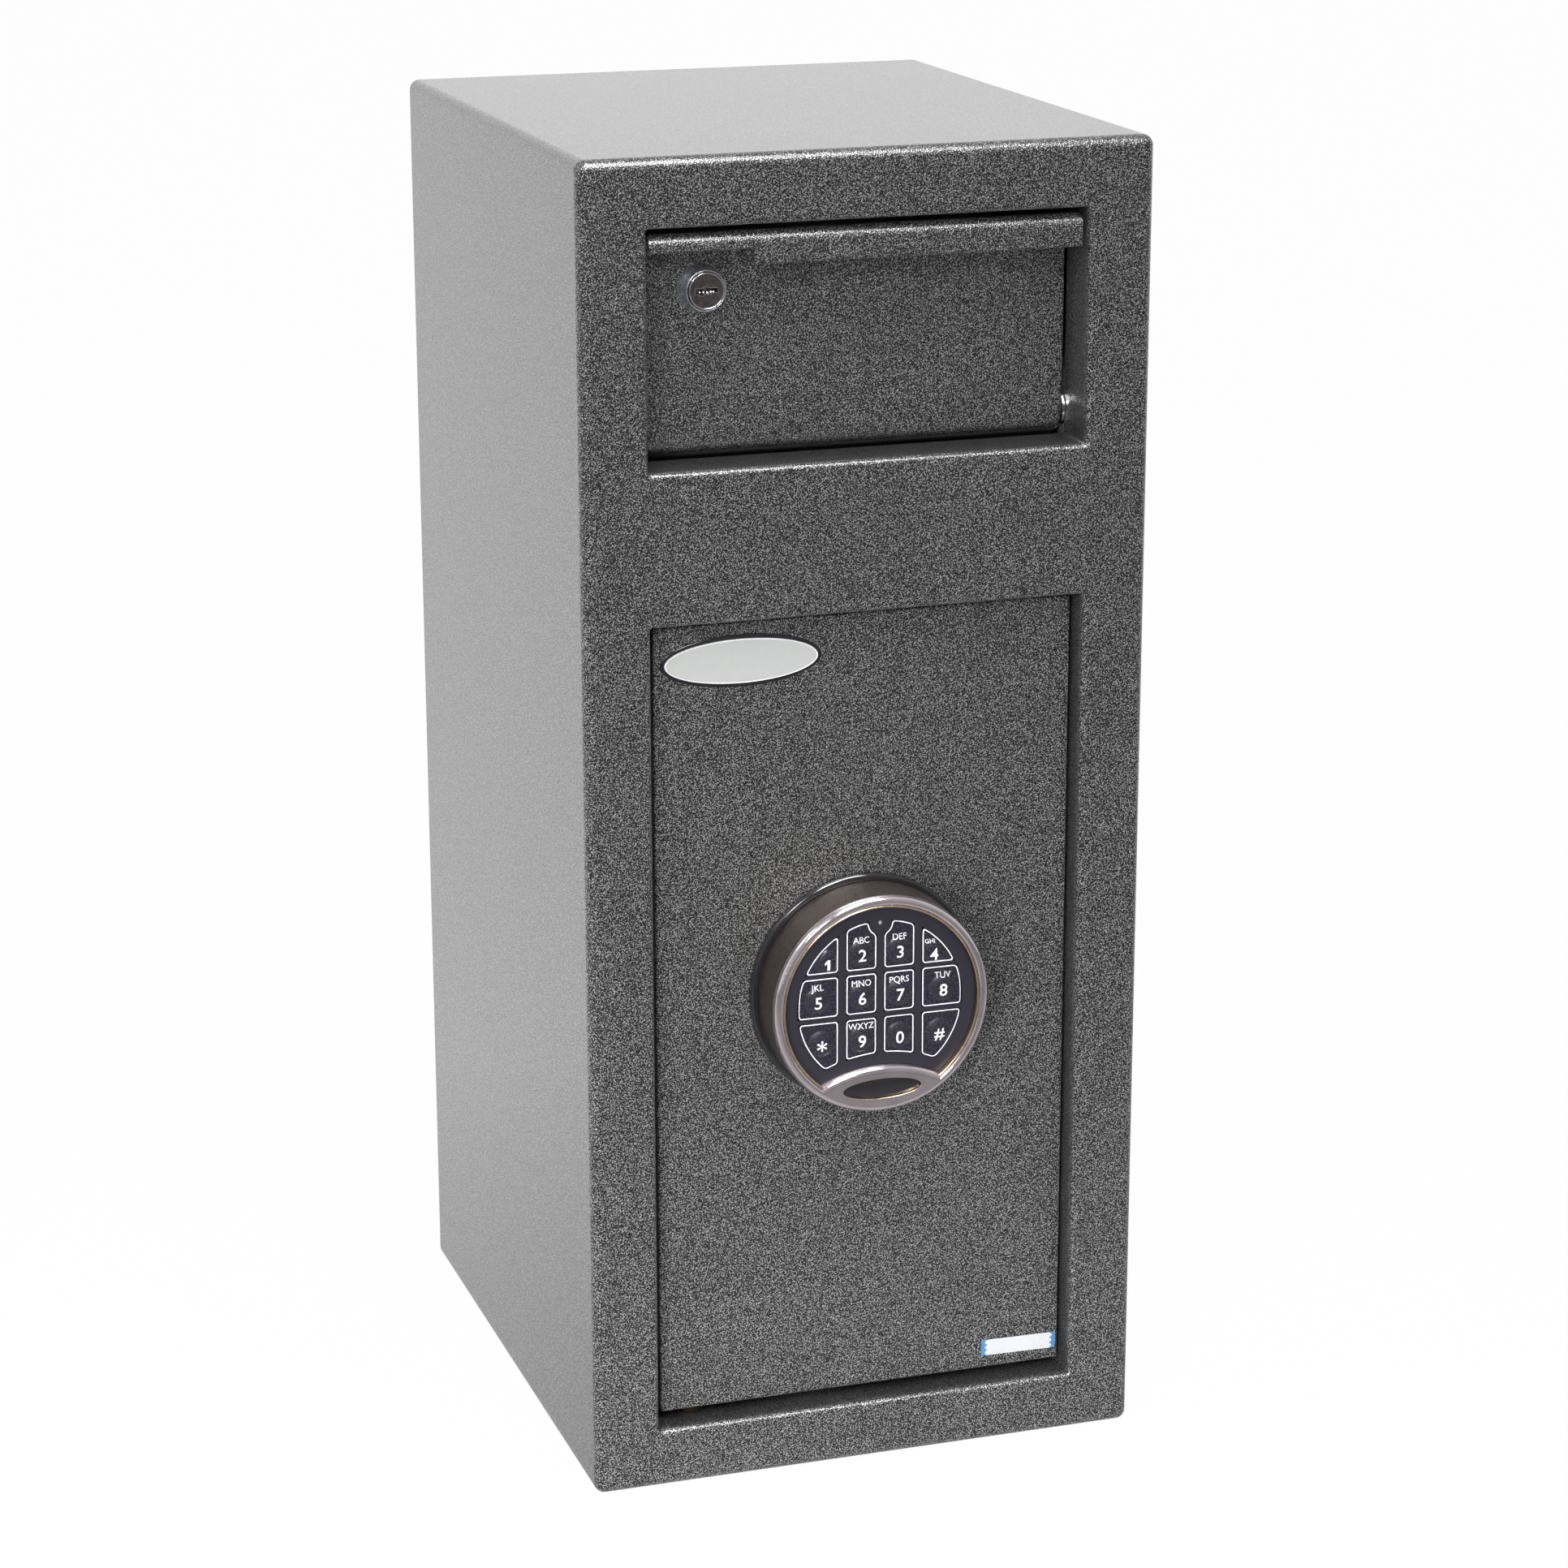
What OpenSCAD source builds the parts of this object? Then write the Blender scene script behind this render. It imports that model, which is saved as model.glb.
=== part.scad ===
// Deposit safe: a tilting hopper above a door with a round electronic keypad.
// Millimetres. Origin at the centre of the base, +X right, +Y to the back, +Z up.
// Everything is drawn closed and unlocked: hopper shut, door shut, bolts drawn in.

/* [Cabinet] */
// Outside width
cab_w = 215; // [200:1:280]
// Outside depth of the box, without the keypad
cab_d = 250; // [230:1:400]
// Outside height
cab_h = 500; // [470:1:700]
// Thickness of the cabinet sheet
sheet = 3; // [2:0.5:5]
// Radius of the outer folds
fold_r = 4; // [2:0.5:8]
// Width of the face plate beside the openings
side_border = 25; // [18:1:40]
// Width of the face plate above the hopper opening
top_border = 25; // [15:1:40]
// Width of the face plate below the door
bottom_border = 23; // [15:1:40]
// Height of the rail between the openings
rail_h = 56; // [40:1:90]
// Height of the hopper opening
hopper_open_h = 86; // [78:1:110]
// Depth of the folded return round the door opening
return_d = 26; // [25:1:34]
// Depth of the folded return round the hopper opening
hopper_return_d = 22.5; // [22:0.5:24]
// Radius of the fold at the edge of each opening
edge_r = 1.5; // [0.5:0.25:2.5]

/* [Door] */
// How far the door lies behind the face plate
door_recess = 9; // [7:0.5:12]
// Thickness of the door plate
door_t = 5; // [4:0.5:6]
// Gap at the hinge side
door_gap_hinge = 3; // [3:0.25:4]
// Gap at the bolt side
door_gap_bolt = 1.5; // [1.5:0.25:3]
// Gap above the door
door_gap_top = 2; // [1.5:0.25:4]
// Gap below the door
door_gap_bottom = 3.5; // [2:0.25:6]
// Distance of the hinge axis from the door's hinge edge
hinge_inset = 14; // [13.5:0.5:18]
// Distance of the hinge axis behind the door's face
hinge_back = 9; // [8.75:0.25:9.25]
// Radius of the hinge pins
hinge_pin_r = 3; // [2:0.25:3.5]

/* [Bolt work] */
// Radius of the locking bolts
bolt_r = 6; // [5:0.5:7]
// Height of each bolt above and below the keypad's axis
bolt_spread = 100; // [80:1:105]
// Module of the rack and pinion
gear_module = 1.5; // [1.25:0.05:1.5]
// Teeth on the pinion, a multiple of four so that it looks alike each quarter turn
pinion_teeth = 12; // [12:4:12]
// Depth of the cover over the bolt work
cover_d = 50.5; // [49:0.5:54]
// Thickness of the cover sheet
cover_t = 1.5; // [1:0.25:2]

/* [Keypad] */
// Height of the keypad's axis above the floor
keypad_z = 188; // [180:1:200]
// Radius of the chrome bezel
bezel_r = 41.5; // [40.5:0.25:43]
// How far the bezel stands out from the door
keypad_d = 24; // [24:0.5:30]
// Radius of the base ring on the door
base_ring_r = 44; // [43.5:0.25:48]
// Radius of the membrane inside the bezel
membrane_r = 37.3; // [36.8:0.1:38]
// Radius that bounds the key zones
zone_r = 32; // [31:0.25:33]
// Radius of the raised dome on each key
dome_r = 5; // [3.5:0.25:5.25]
// Height of the dome above the key
dome_h = 1; // [0.6:0.1:1.4]
// How far a key travels
key_travel = 0.8; // [0.4:0.1:1]
// Radius of the status lamp
lamp_r = 0.9; // [0.6:0.1:1.5]

/* [Hopper] */
// How far the hopper panel lies behind the face plate
hopper_recess = 20; // [18:0.5:21]
// Thickness of the hopper sheet
hopper_t = 2; // [1.5:0.25:2.5]
// Gap between the hopper and the sides of its opening
hopper_gap = 1.5; // [1.5:0.25:3]
// Gap above the pull lip
lip_gap = 2.5; // [2.5:0.5:8]
// How far the lip's front lies behind the face plate
lip_recess = 3; // [2:0.5:6]
// Height of the lip's front flange
lip_h = 12; // [8:0.5:14]
// Height of the flange over the lock
notch_h = 6.5; // [5:0.5:7.5]
// Width of the low part of the flange
notch_w = 38.5; // [36:0.5:50]
// Radius of the curled lower edge
curl_r = 8; // [7:0.5:9]
// Slope of the tray's floor
tray_slope = 25; // [20:1:30]
// How far the hopper tilts open
hopper_open = 50; // [40:1:50]
// Distance of the lock from the hopper's left edge
lock_inset = 23.8; // [23:0.1:30]
// Distance of the lock below the top of the hopper
lock_drop = 22; // [22:0.5:26]
// Radius of the lock's collar
lock_r = 8.75; // [8.5:0.25:10]
// Radius of the lock's plug
plug_r = 6.75; // [6:0.25:7.25]

/* [Badge and label] */
// Width of the oval badge
badge_w = 61; // [40:1:70]
// Height of the oval badge
badge_h = 19.5; // [14:0.5:26]
// Length of the label
label_w = 31; // [20:1:40]
// Height of the label
label_h = 7; // [5:0.5:12]

/* [Anchoring] */
// Radius of the anchor holes
anchor_r = 5.5; // [4:0.5:7]
// Spacing of the base holes from side to side
base_hole_x = 120; // [80:1:150]
// Spacing of the base holes from front to back
base_hole_y = 120; // [80:1:130]
// Spacing of the rear holes from side to side
rear_hole_x = 120; // [80:1:150]
// Spacing of the rear holes in height
rear_hole_z = 240; // [120:1:300]

/* [Hidden] */
$fn = 72;

// Clearances: between a pin and its bore, between pieces that pass, and a cutter's overshoot
fit = 0.06;
pass = 0.3;
over = 1;

// Cabinet planes
half_w = cab_w / 2;
front_y = -cab_d / 2;
back_y = cab_d / 2;
face_back_y = front_y + sheet;
return_y = front_y + return_d;
hopper_return_y = front_y + hopper_return_d;
open_x = half_w - side_border;
hopper_z1 = cab_h - top_border;
hopper_z0 = hopper_z1 - hopper_open_h;
door_z1 = hopper_z0 - rail_h;
door_z0 = bottom_border;
mat_gap = 2;
mat_t = 3;

// Door planes and the hinge axis
door_x0 = -open_x + door_gap_hinge;
door_x1 = open_x - door_gap_bolt;
door_bottom = door_z0 + door_gap_bottom;
door_top = door_z1 - door_gap_top;
door_y0 = front_y + door_recess;
door_y1 = door_y0 + door_t;
door_corner_r = 1;
hinge_x = door_x0 + hinge_inset;
hinge_y = door_y0 + hinge_back;
hinge_block_h = 16;
hinge_block_half = 7;
hinge_wall = 2.5;
washer_r = 6;
pin_top_gap = 1.5;
dog_t = 4;
dog_foot = 13;
dog_hook_t = 6;
dog_reach = 14;
dog_inset = 3.5;
dog_behind = 1.5;
dog_end_gap = 2;

// Bolt work: the bolts pass just behind the surround, and the rack runs under the pinion
bolt_gap = 0.5;
bolt_y = return_y + bolt_gap + bolt_r;
pitch_r = gear_module * pinion_teeth / 2;
stroke = pitch_r * PI / 2;
backlash = 0.2;
pressure = 20;
gear_half = 4.5;
tooth_sink = 0.4;
gear_y0 = bolt_y - gear_half;
gear_y1 = bolt_y + gear_half;
rack_half = 4;
rack_depth = 8;
guide_t = 5;
guide_inset = 7;
guide_x1 = door_x1 - guide_inset;
guide_x0 = guide_x1 - guide_t;
guide_back = 3;
bolt_proud = 1.5;
bolt_tip_x = guide_x1 + bolt_proud;
bar_t = 4;
bar_clear = 4.5;
bar_x1 = guide_x0 - stroke - bar_clear;
bar_x0 = bar_x1 - bar_t;
bar_half = 6;
bar_over = 12;
ear_t = 4;
ear_half_h = 8;
post_r = 3;
ear_end = 5;
post_gap = 9;
post_x = bar_x0 - post_r - post_gap;
ear_z = bolt_spread - bar_over;
post_shoulder_r = 5;
post_head_r = 5.5;
post_head_t = 2.5;

// Spindle, its bearing and the case behind it
spindle_r = 5;
gear_seat_r = 4;
spindle_tail_r = 3;
bush_r = 8;
bush_flange_r = 11;
bush_flange_t = 2;
case_half_w = 31;
case_wall = 2;
case_gap = 6;
case_d = 18;
case_below = 36;
case_above = 58;
case_y0 = gear_y1 + case_gap;
case_y1 = case_y0 + case_d;
case_bottom = keypad_z - case_below;
case_top = keypad_z + case_above;
leg_r = 4;
leg_x = case_half_w - leg_r;
case_boss_r = 6;
case_boss_d = 12;
tail_gap = 0.8;
tail_y = case_y1 - case_wall - tail_gap;
circuit_z = 14;
circuit_y = case_y0 + 4;
board_t = 1.6;

// Solenoid over the pinion
solenoid_half = 11;
solenoid_gap = 15;
solenoid_z0 = keypad_z + pitch_r + solenoid_gap;
solenoid_h = 26;
solenoid_wall = 5;
solenoid_roof = 3;
plunger_r = 3;
plunger_gap = 6;
blade_w = 1.3;
blade_half_d = 2.5;
blade_gap = 1.5;
blade_z = keypad_z + pitch_r + gear_module + blade_gap;
blade_h = 6;

// Cover over the bolt work
cover_over = 28;
bolt_hole_gap = 0.6;
cover_guide_gap = 1;
cover_x0 = hinge_x + hinge_block_half + bolt_gap;
cover_x1 = guide_x0 - cover_guide_gap;
cover_z0 = keypad_z - bolt_spread - cover_over;
cover_z1 = keypad_z + bolt_spread + cover_over;
cover_y1 = door_y1 + cover_d;
cover_lip = 9;
screw_r = 2;
screw_head_r = 3.6;
screw_head_t = 2.2;
screw_x = 40;

// Keypad planes, front to back
bezel_y = door_y0 - keypad_d;
membrane_sink = 3.1;
membrane_y = bezel_y + membrane_sink;
membrane_t = 2.2;
key_t = 1.8;
key_gap = 0.2;
board_y = membrane_y + key_t + key_travel + pass;
base_ring_t = 3;
base_ring_hole_r = 30;
housing_back_y = door_y0 - base_ring_t - pass;
housing_floor = 2;
cavity_r = 39;
bezel_round = 2.2;
cell_r = 5.2;
cell_l = 44.5;
cell_offset = 16;
spindle_flange_r = 9;
spindle_flange_t = 2;

// Lower bridge of the bezel and its oval plate
bridge_arc_r = 50.5;
bridge_arc_v = -74.4;
bridge_over = 0.5;
plate_v = -32.4;
plate_half_w = 15.3;
plate_half_h = 3.9;
plate_t = 0.8;
plate_y = bezel_y + 1;
plate_gap = 0.1;
bridge_y = bezel_y + 0.6;
lamp_v = 30.9;
lamp_clear_r = 4.4;
lamp_proud = 0.4;

// Key zones: the edges of the columns and rows, and the arc that bounds the lowest row
col_edges = [[-zone_r, -16.3], [-13.2, -1.5], [1.5, 13.2], [16.3, zone_r]];
row_edges = [[13.4, zone_r], [-3.5, 11.8], [-zone_r, -5.4]];
lowest_arc_r = 54.9;
dome_u = [[-20.6, -7.35, 7.35, 20.6], [-24.3, -7.35, 7.35, 24.3], [-22.9, -7.35, 7.35, 22.9]];
dome_v = [[17.6, 20, 20, 17.6], [3.4, 3.4, 3.4, 3.4], [-13.4, -13.2, -13.2, -13.4]];

// Badge and label: insets from the door's edges, rim and thicknesses
badge_inset_x = 2.5;
badge_inset_z = 4.5;
badge_rim_w = 1.2;
badge_rim_t = 1.2;
badge_plate_t = 1;
label_inset_x = 0.8;
label_inset_z = 4.5;
label_t = 0.2;

// Hopper: the panel's planes and the pivot at the centre of its curled edge
hopper_x = open_x - hopper_gap;
panel_y0 = front_y + hopper_recess;
panel_y1 = panel_y0 + hopper_t;
hopper_top = hopper_z1 - lip_gap;
pivot_y = panel_y0 + curl_r;
curl_gap = 1;
pivot_z = hopper_z0 + curl_gap + curl_r;
tray_gap = 0.5;
tray_r = hopper_top - pivot_z - tray_gap;
lip_y = front_y + lip_recess;
lip_bend_r = 4.5;
pivot_pin_r = 3;
pivot_collar_r = 7.5;
pivot_head_t = 3.5;
pivot_head_r = 5;
pivot_tail = 2;
cheek_boss_r = pivot_pin_r + 1.5;
cheek_back_off = 3;
bracket_t = 3;
bracket_gap = 1.5;
bracket_foot = 24;
bracket_x = open_x + bracket_gap;
bracket_foot_y = pivot_y + bracket_foot;
bracket_half_h = 14;
tip_up = pivot_z + curl_r;

// Baffle: it follows the arc of the tray's back edge and hangs from the roof
baffle_t = 1.5;
baffle_gap = 1.5;
baffle_side_gap = 2.5;
baffle_r = tray_r + baffle_gap;
baffle_under = 8;
baffle_low = hopper_open - tray_slope - baffle_under;
baffle_half_w = hopper_x - hopper_t - baffle_side_gap;
baffle_flange = 12;

// Stop ears on the tray meet the back edge of the hopper surround
ear_over = 3;
ear_free = 0.4;
ear_r = hopper_z1 - pivot_z + ear_over;
ear_touch = atan2(hopper_z1 - pivot_z + ear_over / 2, hopper_return_y - pivot_y) - hopper_open - ear_free;
ear_span = 4;

// Cam lock on the hopper
lock_x = -hopper_x + lock_inset;
lock_z = hopper_top - lock_drop;
lock_proud = 7;
collar_rim = 0.75;
lock_reach = 15;
lock_front_y = panel_y0 - lock_proud;
lock_body_r = lock_r - 0.5;
lock_end_y = panel_y1 + lock_reach;
plug_proud = 0.6;
drive_half = 3;
nut_r = 12.5;
nut_t = 5;
cam_t = 2.5;
cam_gap = 0.5;
cam_y0 = lock_end_y + cam_gap;
cam_half_w = 7;
cam_l = 35;
cam_screw_r = 4.5;
cam_screw_t = 2.5;
slot_w = 7.5;
slot_h = 1.8;
slot_d = 6;
strike_t = 2;
strike_half_w = 10;
strike_up = 1;

// A box between two corners
module block(lo, hi) translate(lo) cube(hi - lo);
// A flat outline of X and Z, given a thickness from y0 to y1
module slab(y0, y1) translate([0, y1, 0]) rotate([90, 0, 0]) linear_extrude(y1 - y0) children();
// A flat outline of Y and Z, given a length from x0 to x1
module bar(x0, x1) translate([x0, 0, 0]) rotate([90, 0, 90]) linear_extrude(x1 - x0) children();
module rod_x(y, z, r, x0, x1) translate([x0, y, z]) rotate([0, 90, 0]) cylinder(r = r, h = x1 - x0);
module rod_y(x, z, r, y0, y1) translate([x, y1, z]) rotate([90, 0, 0]) cylinder(r = r, h = y1 - y0);
module rod_z(x, y, r, z0, z1) translate([x, y, z0]) cylinder(r = r, h = z1 - z0);
// A flat ring
module annulus(r1, r0) difference() {
    circle(r = r1);
    circle(r = r0);
}
// A rectangle with round corners, from true arcs
module round_rect(x0, x1, z0, z1, r) union() {
    translate([x0 + r, z0]) square([x1 - x0 - 2 * r, z1 - z0]);
    translate([x0, z0 + r]) square([x1 - x0, z1 - z0 - 2 * r]);
    for (x = [x0 + r, x1 - r], z = [z0 + r, z1 - r]) translate([x, z]) circle(r = r);
}
// An oval outline
module oval(half_w, half_h) polygon([for (i = [0:71]) [half_w * cos(5 * i), half_h * sin(5 * i)]]);
// A wedge of the plane between two angles
module wedge(a0, a1, r) polygon([[0, 0], for (i = [0:6]) r * [cos(a0 + (a1 - a0) * i / 6),
    sin(a0 + (a1 - a0) * i / 6)]]);

// The cabinet's outer form: a box whose twelve edges are folds
module outer_form() intersection() {
    slab(front_y, back_y) round_rect(-half_w, half_w, 0, cab_h, fold_r);
    linear_extrude(cab_h) round_rect(-half_w, half_w, front_y, back_y, fold_r);
    bar(-half_w, half_w) round_rect(front_y, back_y, 0, cab_h, fold_r);
}
// Half the profile of an opening whose front edge is a fold: wide at the front, then straight
module mouth_profile(half, depth) difference() {
    translate([-half - edge_r, 0]) square([2 * (half + edge_r), depth]);
    for (s = [-1, 1]) translate([s * (half + edge_r), edge_r]) circle(r = edge_r);
    for (s = [-1, 1]) translate([s * (half + edge_r) - edge_r, edge_r])
        square([2 * edge_r, depth]);
}
module body_shell() color([0.36, 0.37, 0.37]) difference() {
    intersection() {
        outer_form();
        block([-cab_w, face_back_y, -over], [cab_w, back_y - sheet, cab_h + over]);
    }
    block([-half_w + sheet, front_y - over, sheet], [half_w - sheet, back_y + over, cab_h - sheet]);
    for (x = [-1, 1], y = [-1, 1])
        rod_z(x * base_hole_x / 2, y * base_hole_y / 2, anchor_r, -over, sheet + over);
}

module rear_panel() color([0.36, 0.37, 0.37]) difference() {
    intersection() {
        outer_form();
        block([-cab_w, back_y - sheet, -over], [cab_w, back_y + over, cab_h + over]);
    }
    for (x = [-1, 1], z = [-1, 1])
        rod_y(x * rear_hole_x / 2, cab_h / 2 + z * rear_hole_z / 2, anchor_r,
            back_y - sheet - over, back_y + over);
}

// The two openings are cut with a rounded front edge
module opening_cut(z0, z1) intersection() {
    translate([0, front_y, z0 - 2 * edge_r]) linear_extrude(z1 - z0 + 4 * edge_r)
        mouth_profile(open_x, sheet + over);
    translate([0, 0, (z0 + z1) / 2]) bar(-open_x - 2 * edge_r, open_x + 2 * edge_r)
        translate([front_y, 0]) mirror([1, -1]) mouth_profile((z1 - z0) / 2, sheet + over);
}

module face_plate() color([0.34, 0.35, 0.35]) difference() {
    intersection() {
        outer_form();
        block([-cab_w, front_y - over, -over], [cab_w, face_back_y, cab_h + over]);
    }
    opening_cut(door_z0, door_z1);
    opening_cut(hopper_z0, hopper_z1);
}

// A folded return: a rectangular tube behind the face plate
module surround(z0, z1, end_y) difference() {
    block([-open_x - sheet, face_back_y, z0 - sheet], [open_x + sheet, end_y, z1 + sheet]);
    block([-open_x, face_back_y - over, z0], [open_x, end_y + over, z1]);
}
module hopper_surround() color([0.32, 0.33, 0.33]) surround(hopper_z0, hopper_z1, hopper_return_y);
module door_surround() color([0.32, 0.33, 0.33]) difference() {
    surround(door_z0, door_z1, return_y);
    rod_z(hinge_x, hinge_y, hinge_pin_r + fit / 2, door_z0 - sheet - over, door_z0 + over);
    rod_z(hinge_x, hinge_y, hinge_pin_r + fit / 2, door_z1 - over, door_z1 + sheet + over);
}

module hopper_baffle() color([0.42, 0.43, 0.43]) {
    knee = baffle_r * cos(45);
    bar(-baffle_half_w, baffle_half_w) translate([pivot_y, pivot_z]) union() {
        intersection() {
            annulus(baffle_r + baffle_t, baffle_r);
            wedge(baffle_low, 45, 3 * baffle_r);
        }
        translate([knee, knee]) square([baffle_t, cab_h - sheet - pivot_z - knee]);
        translate([knee, cab_h - sheet - pivot_z - baffle_t]) square([baffle_flange, baffle_t]);
    }
}

// The tab hangs from the roof just in front of the cam's path
module lock_strike() color([0.5, 0.5, 0.5]) {
    tab_y = cam_y0 - bolt_gap;
    block([lock_x - strike_half_w, tab_y - strike_t, hopper_z1 + strike_up],
        [lock_x + strike_half_w, tab_y, cab_h - sheet]);
    block([lock_x - strike_half_w, tab_y - strike_t, cab_h - sheet - strike_t],
        [lock_x + strike_half_w, tab_y + baffle_flange, cab_h - sheet]);
}

module hopper_brackets() color([0.42, 0.43, 0.43]) for (s = [0, 1]) mirror([s, 0, 0]) difference() {
    union() {
        block([bracket_x, hopper_return_y + pass, pivot_z - bracket_half_h],
            [bracket_x + bracket_t, bracket_foot_y + bracket_t, pivot_z + bracket_half_h]);
        block([bracket_x, bracket_foot_y, pivot_z - bracket_half_h],
            [half_w - sheet, bracket_foot_y + bracket_t, pivot_z + bracket_half_h]);
    }
    rod_x(pivot_y, pivot_z, pivot_pin_r + fit / 2, bracket_x - over, bracket_x + bracket_t + over);
}

// Shoulder pins: a head inside the tray's cheek and a bright collar in the gap beside it
module hopper_pivots() color([0.85, 0.85, 0.86]) for (s = [0, 1]) mirror([s, 0, 0]) {
    head_x = hopper_x - hopper_t - pivot_head_t;
    rod_x(pivot_y, pivot_z, pivot_pin_r, head_x, bracket_x + bracket_t + pivot_tail);
    rod_x(pivot_y, pivot_z, pivot_collar_r, hopper_x + pass, open_x - pass);
    rod_x(pivot_y, pivot_z, pivot_head_r, head_x, hopper_x - hopper_t - pass);
}

module floor_mat() color([0.12, 0.12, 0.13]) difference() {
    block([-half_w + sheet + mat_gap, return_y + 2 * mat_gap, sheet],
        [half_w - sheet - mat_gap, back_y - sheet - mat_gap, sheet + mat_t]);
    for (x = [-1, 1], y = [-1, 1])
        rod_z(x * base_hole_x / 2, y * base_hole_y / 2, anchor_r + mat_gap, 0, sheet + 2 * mat_t);
}

// Hinge pins stand in the door surround and reach into the door's hinge blocks
module hinge_pin_lower() color([0.7, 0.7, 0.7])
    rod_z(hinge_x, hinge_y, hinge_pin_r, door_z0 - sheet, door_bottom + hinge_block_h - pin_top_gap);
module hinge_pin_upper() color([0.7, 0.7, 0.7])
    rod_z(hinge_x, hinge_y, hinge_pin_r, door_top - hinge_block_h + pin_top_gap, door_z1 + sheet);
module hinge_washers() color([0.78, 0.66, 0.36]) {
    washer(door_z0, door_bottom);
    washer(door_top + pass, door_z1);
}
module washer(z0, z1) difference() {
    rod_z(hinge_x, hinge_y, washer_r, z0, z1);
    rod_z(hinge_x, hinge_y, hinge_pin_r + fit, z0 - over, z1 + over);
}

module door_panel() color([0.35, 0.36, 0.36]) difference() {
    slab(door_y0, door_y1) round_rect(door_x0, door_x1, door_bottom, door_top, door_corner_r);
    rod_y(0, keypad_z, bush_r + fit / 2, door_y0 - over, door_y1 + over);
}

module hinge_block(z0) difference() {
    block([hinge_x - hinge_block_half, door_y1, z0],
        [hinge_x + hinge_block_half, hinge_y + hinge_pin_r + hinge_wall, z0 + hinge_block_h]);
    rod_z(hinge_x, hinge_y, hinge_pin_r + fit, z0 - over, z0 + hinge_block_h + over);
}
module door_hinge_lower() color([0.45, 0.46, 0.46]) hinge_block(door_bottom);
module door_hinge_upper() color([0.45, 0.46, 0.46]) hinge_block(door_top - hinge_block_h);

// A folded bar whose free edge stays hooked behind the surround on the hinge side
module fixed_dog_bar() color([0.45, 0.46, 0.46]) {
    foot_x = door_x0 + dog_inset;
    hook_y = return_y + dog_behind;
    end_h = hinge_block_h + dog_end_gap;
    translate([0, 0, door_bottom + end_h])
        linear_extrude(door_top - door_bottom - 2 * end_h) polygon([
            [foot_x, door_y1], [foot_x + dog_foot, door_y1], [foot_x + dog_foot, door_y1 + dog_t],
            [foot_x + dog_t, door_y1 + dog_t], [foot_x + dog_t, hook_y + dog_hook_t],
            [foot_x - dog_reach, hook_y + dog_hook_t], [foot_x - dog_reach, hook_y], [foot_x, hook_y]]);
}

// A pan over the bolt work with a lip above and below, screwed to the door
module inner_cover() color([0.4, 0.41, 0.41]) difference() {
    union() {
        block([cover_x0, door_y1, cover_z0], [cover_x1, cover_y1, cover_z1]);
        block([cover_x0, door_y1, cover_z0 - cover_lip], [cover_x1, door_y1 + cover_t, cover_z1 + cover_lip]);
    }
    block([cover_x0 + cover_t, door_y1 - over, cover_z0 + cover_t],
        [cover_x1 - cover_t, cover_y1 - cover_t, cover_z1 - cover_t]);
    for (s = [-1, 1]) rod_x(bolt_y, keypad_z + s * bolt_spread, bolt_r + bolt_hole_gap,
        cover_x1 - cover_t - over, cover_x1 + over);
    for (x = [-1, 1], z = [cover_z0 - cover_lip / 2, cover_z1 + cover_lip / 2])
        rod_y(x * screw_x, z, screw_r + fit, door_y1 - over, door_y1 + cover_t + over);
}
module cover_screws() color([0.75, 0.75, 0.76])
    for (x = [-1, 1], z = [cover_z0 - cover_lip / 2, cover_z1 + cover_lip / 2]) {
        rod_y(x * screw_x, z, screw_r, door_y1, door_y1 + cover_t);
        rod_y(x * screw_x, z, screw_head_r, door_y1 + cover_t, door_y1 + cover_t + screw_head_t);
    }

// The case stands on four legs and carries the spindle's tail in a boss
module lock_case() color([0.55, 0.56, 0.57]) difference() {
    union() {
        difference() {
            block([-case_half_w, case_y0, case_bottom], [case_half_w, case_y1, case_top]);
            block([-case_half_w + case_wall, case_y0 - over, case_bottom + case_wall],
                [case_half_w - case_wall, case_y1 - case_wall, case_top - case_wall]);
        }
        rod_y(0, keypad_z, case_boss_r, case_y1 - case_wall - case_boss_d, case_y1 - case_wall);
        for (x = [-leg_x, leg_x], z = [case_bottom + leg_r, case_top - leg_r])
            rod_y(x, z, leg_r, door_y1, case_y1 - case_wall);
    }
    rod_y(0, keypad_z, spindle_tail_r + fit, case_y0, tail_y + tail_gap / 2);
}
module circuit_board() color([0.1, 0.32, 0.18])
    block([-case_half_w + case_wall + leg_r * 2, circuit_y, keypad_z + circuit_z],
        [case_half_w - case_wall - leg_r * 2, circuit_y + board_t, case_top - case_wall - pass]);

module solenoid() color([0.3, 0.3, 0.32]) difference() {
    block([-solenoid_half, door_y1, solenoid_z0],
        [solenoid_half, bolt_y + plunger_r + solenoid_wall, solenoid_z0 + solenoid_h]);
    rod_z(0, bolt_y, plunger_r + fit, solenoid_z0 - over, solenoid_z0 + solenoid_h - solenoid_roof);
}
// The blade drops into the tooth gap at the top of the pinion
module solenoid_plunger() color([0.75, 0.75, 0.76]) {
    rod_base = blade_z + blade_h;
    block([-blade_w / 2, bolt_y - blade_half_d, blade_z], [blade_w / 2, bolt_y + blade_half_d, rod_base]);
    rod_z(0, bolt_y, plunger_r, rod_base, solenoid_z0 + solenoid_h - solenoid_roof - plunger_gap);
}

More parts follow.
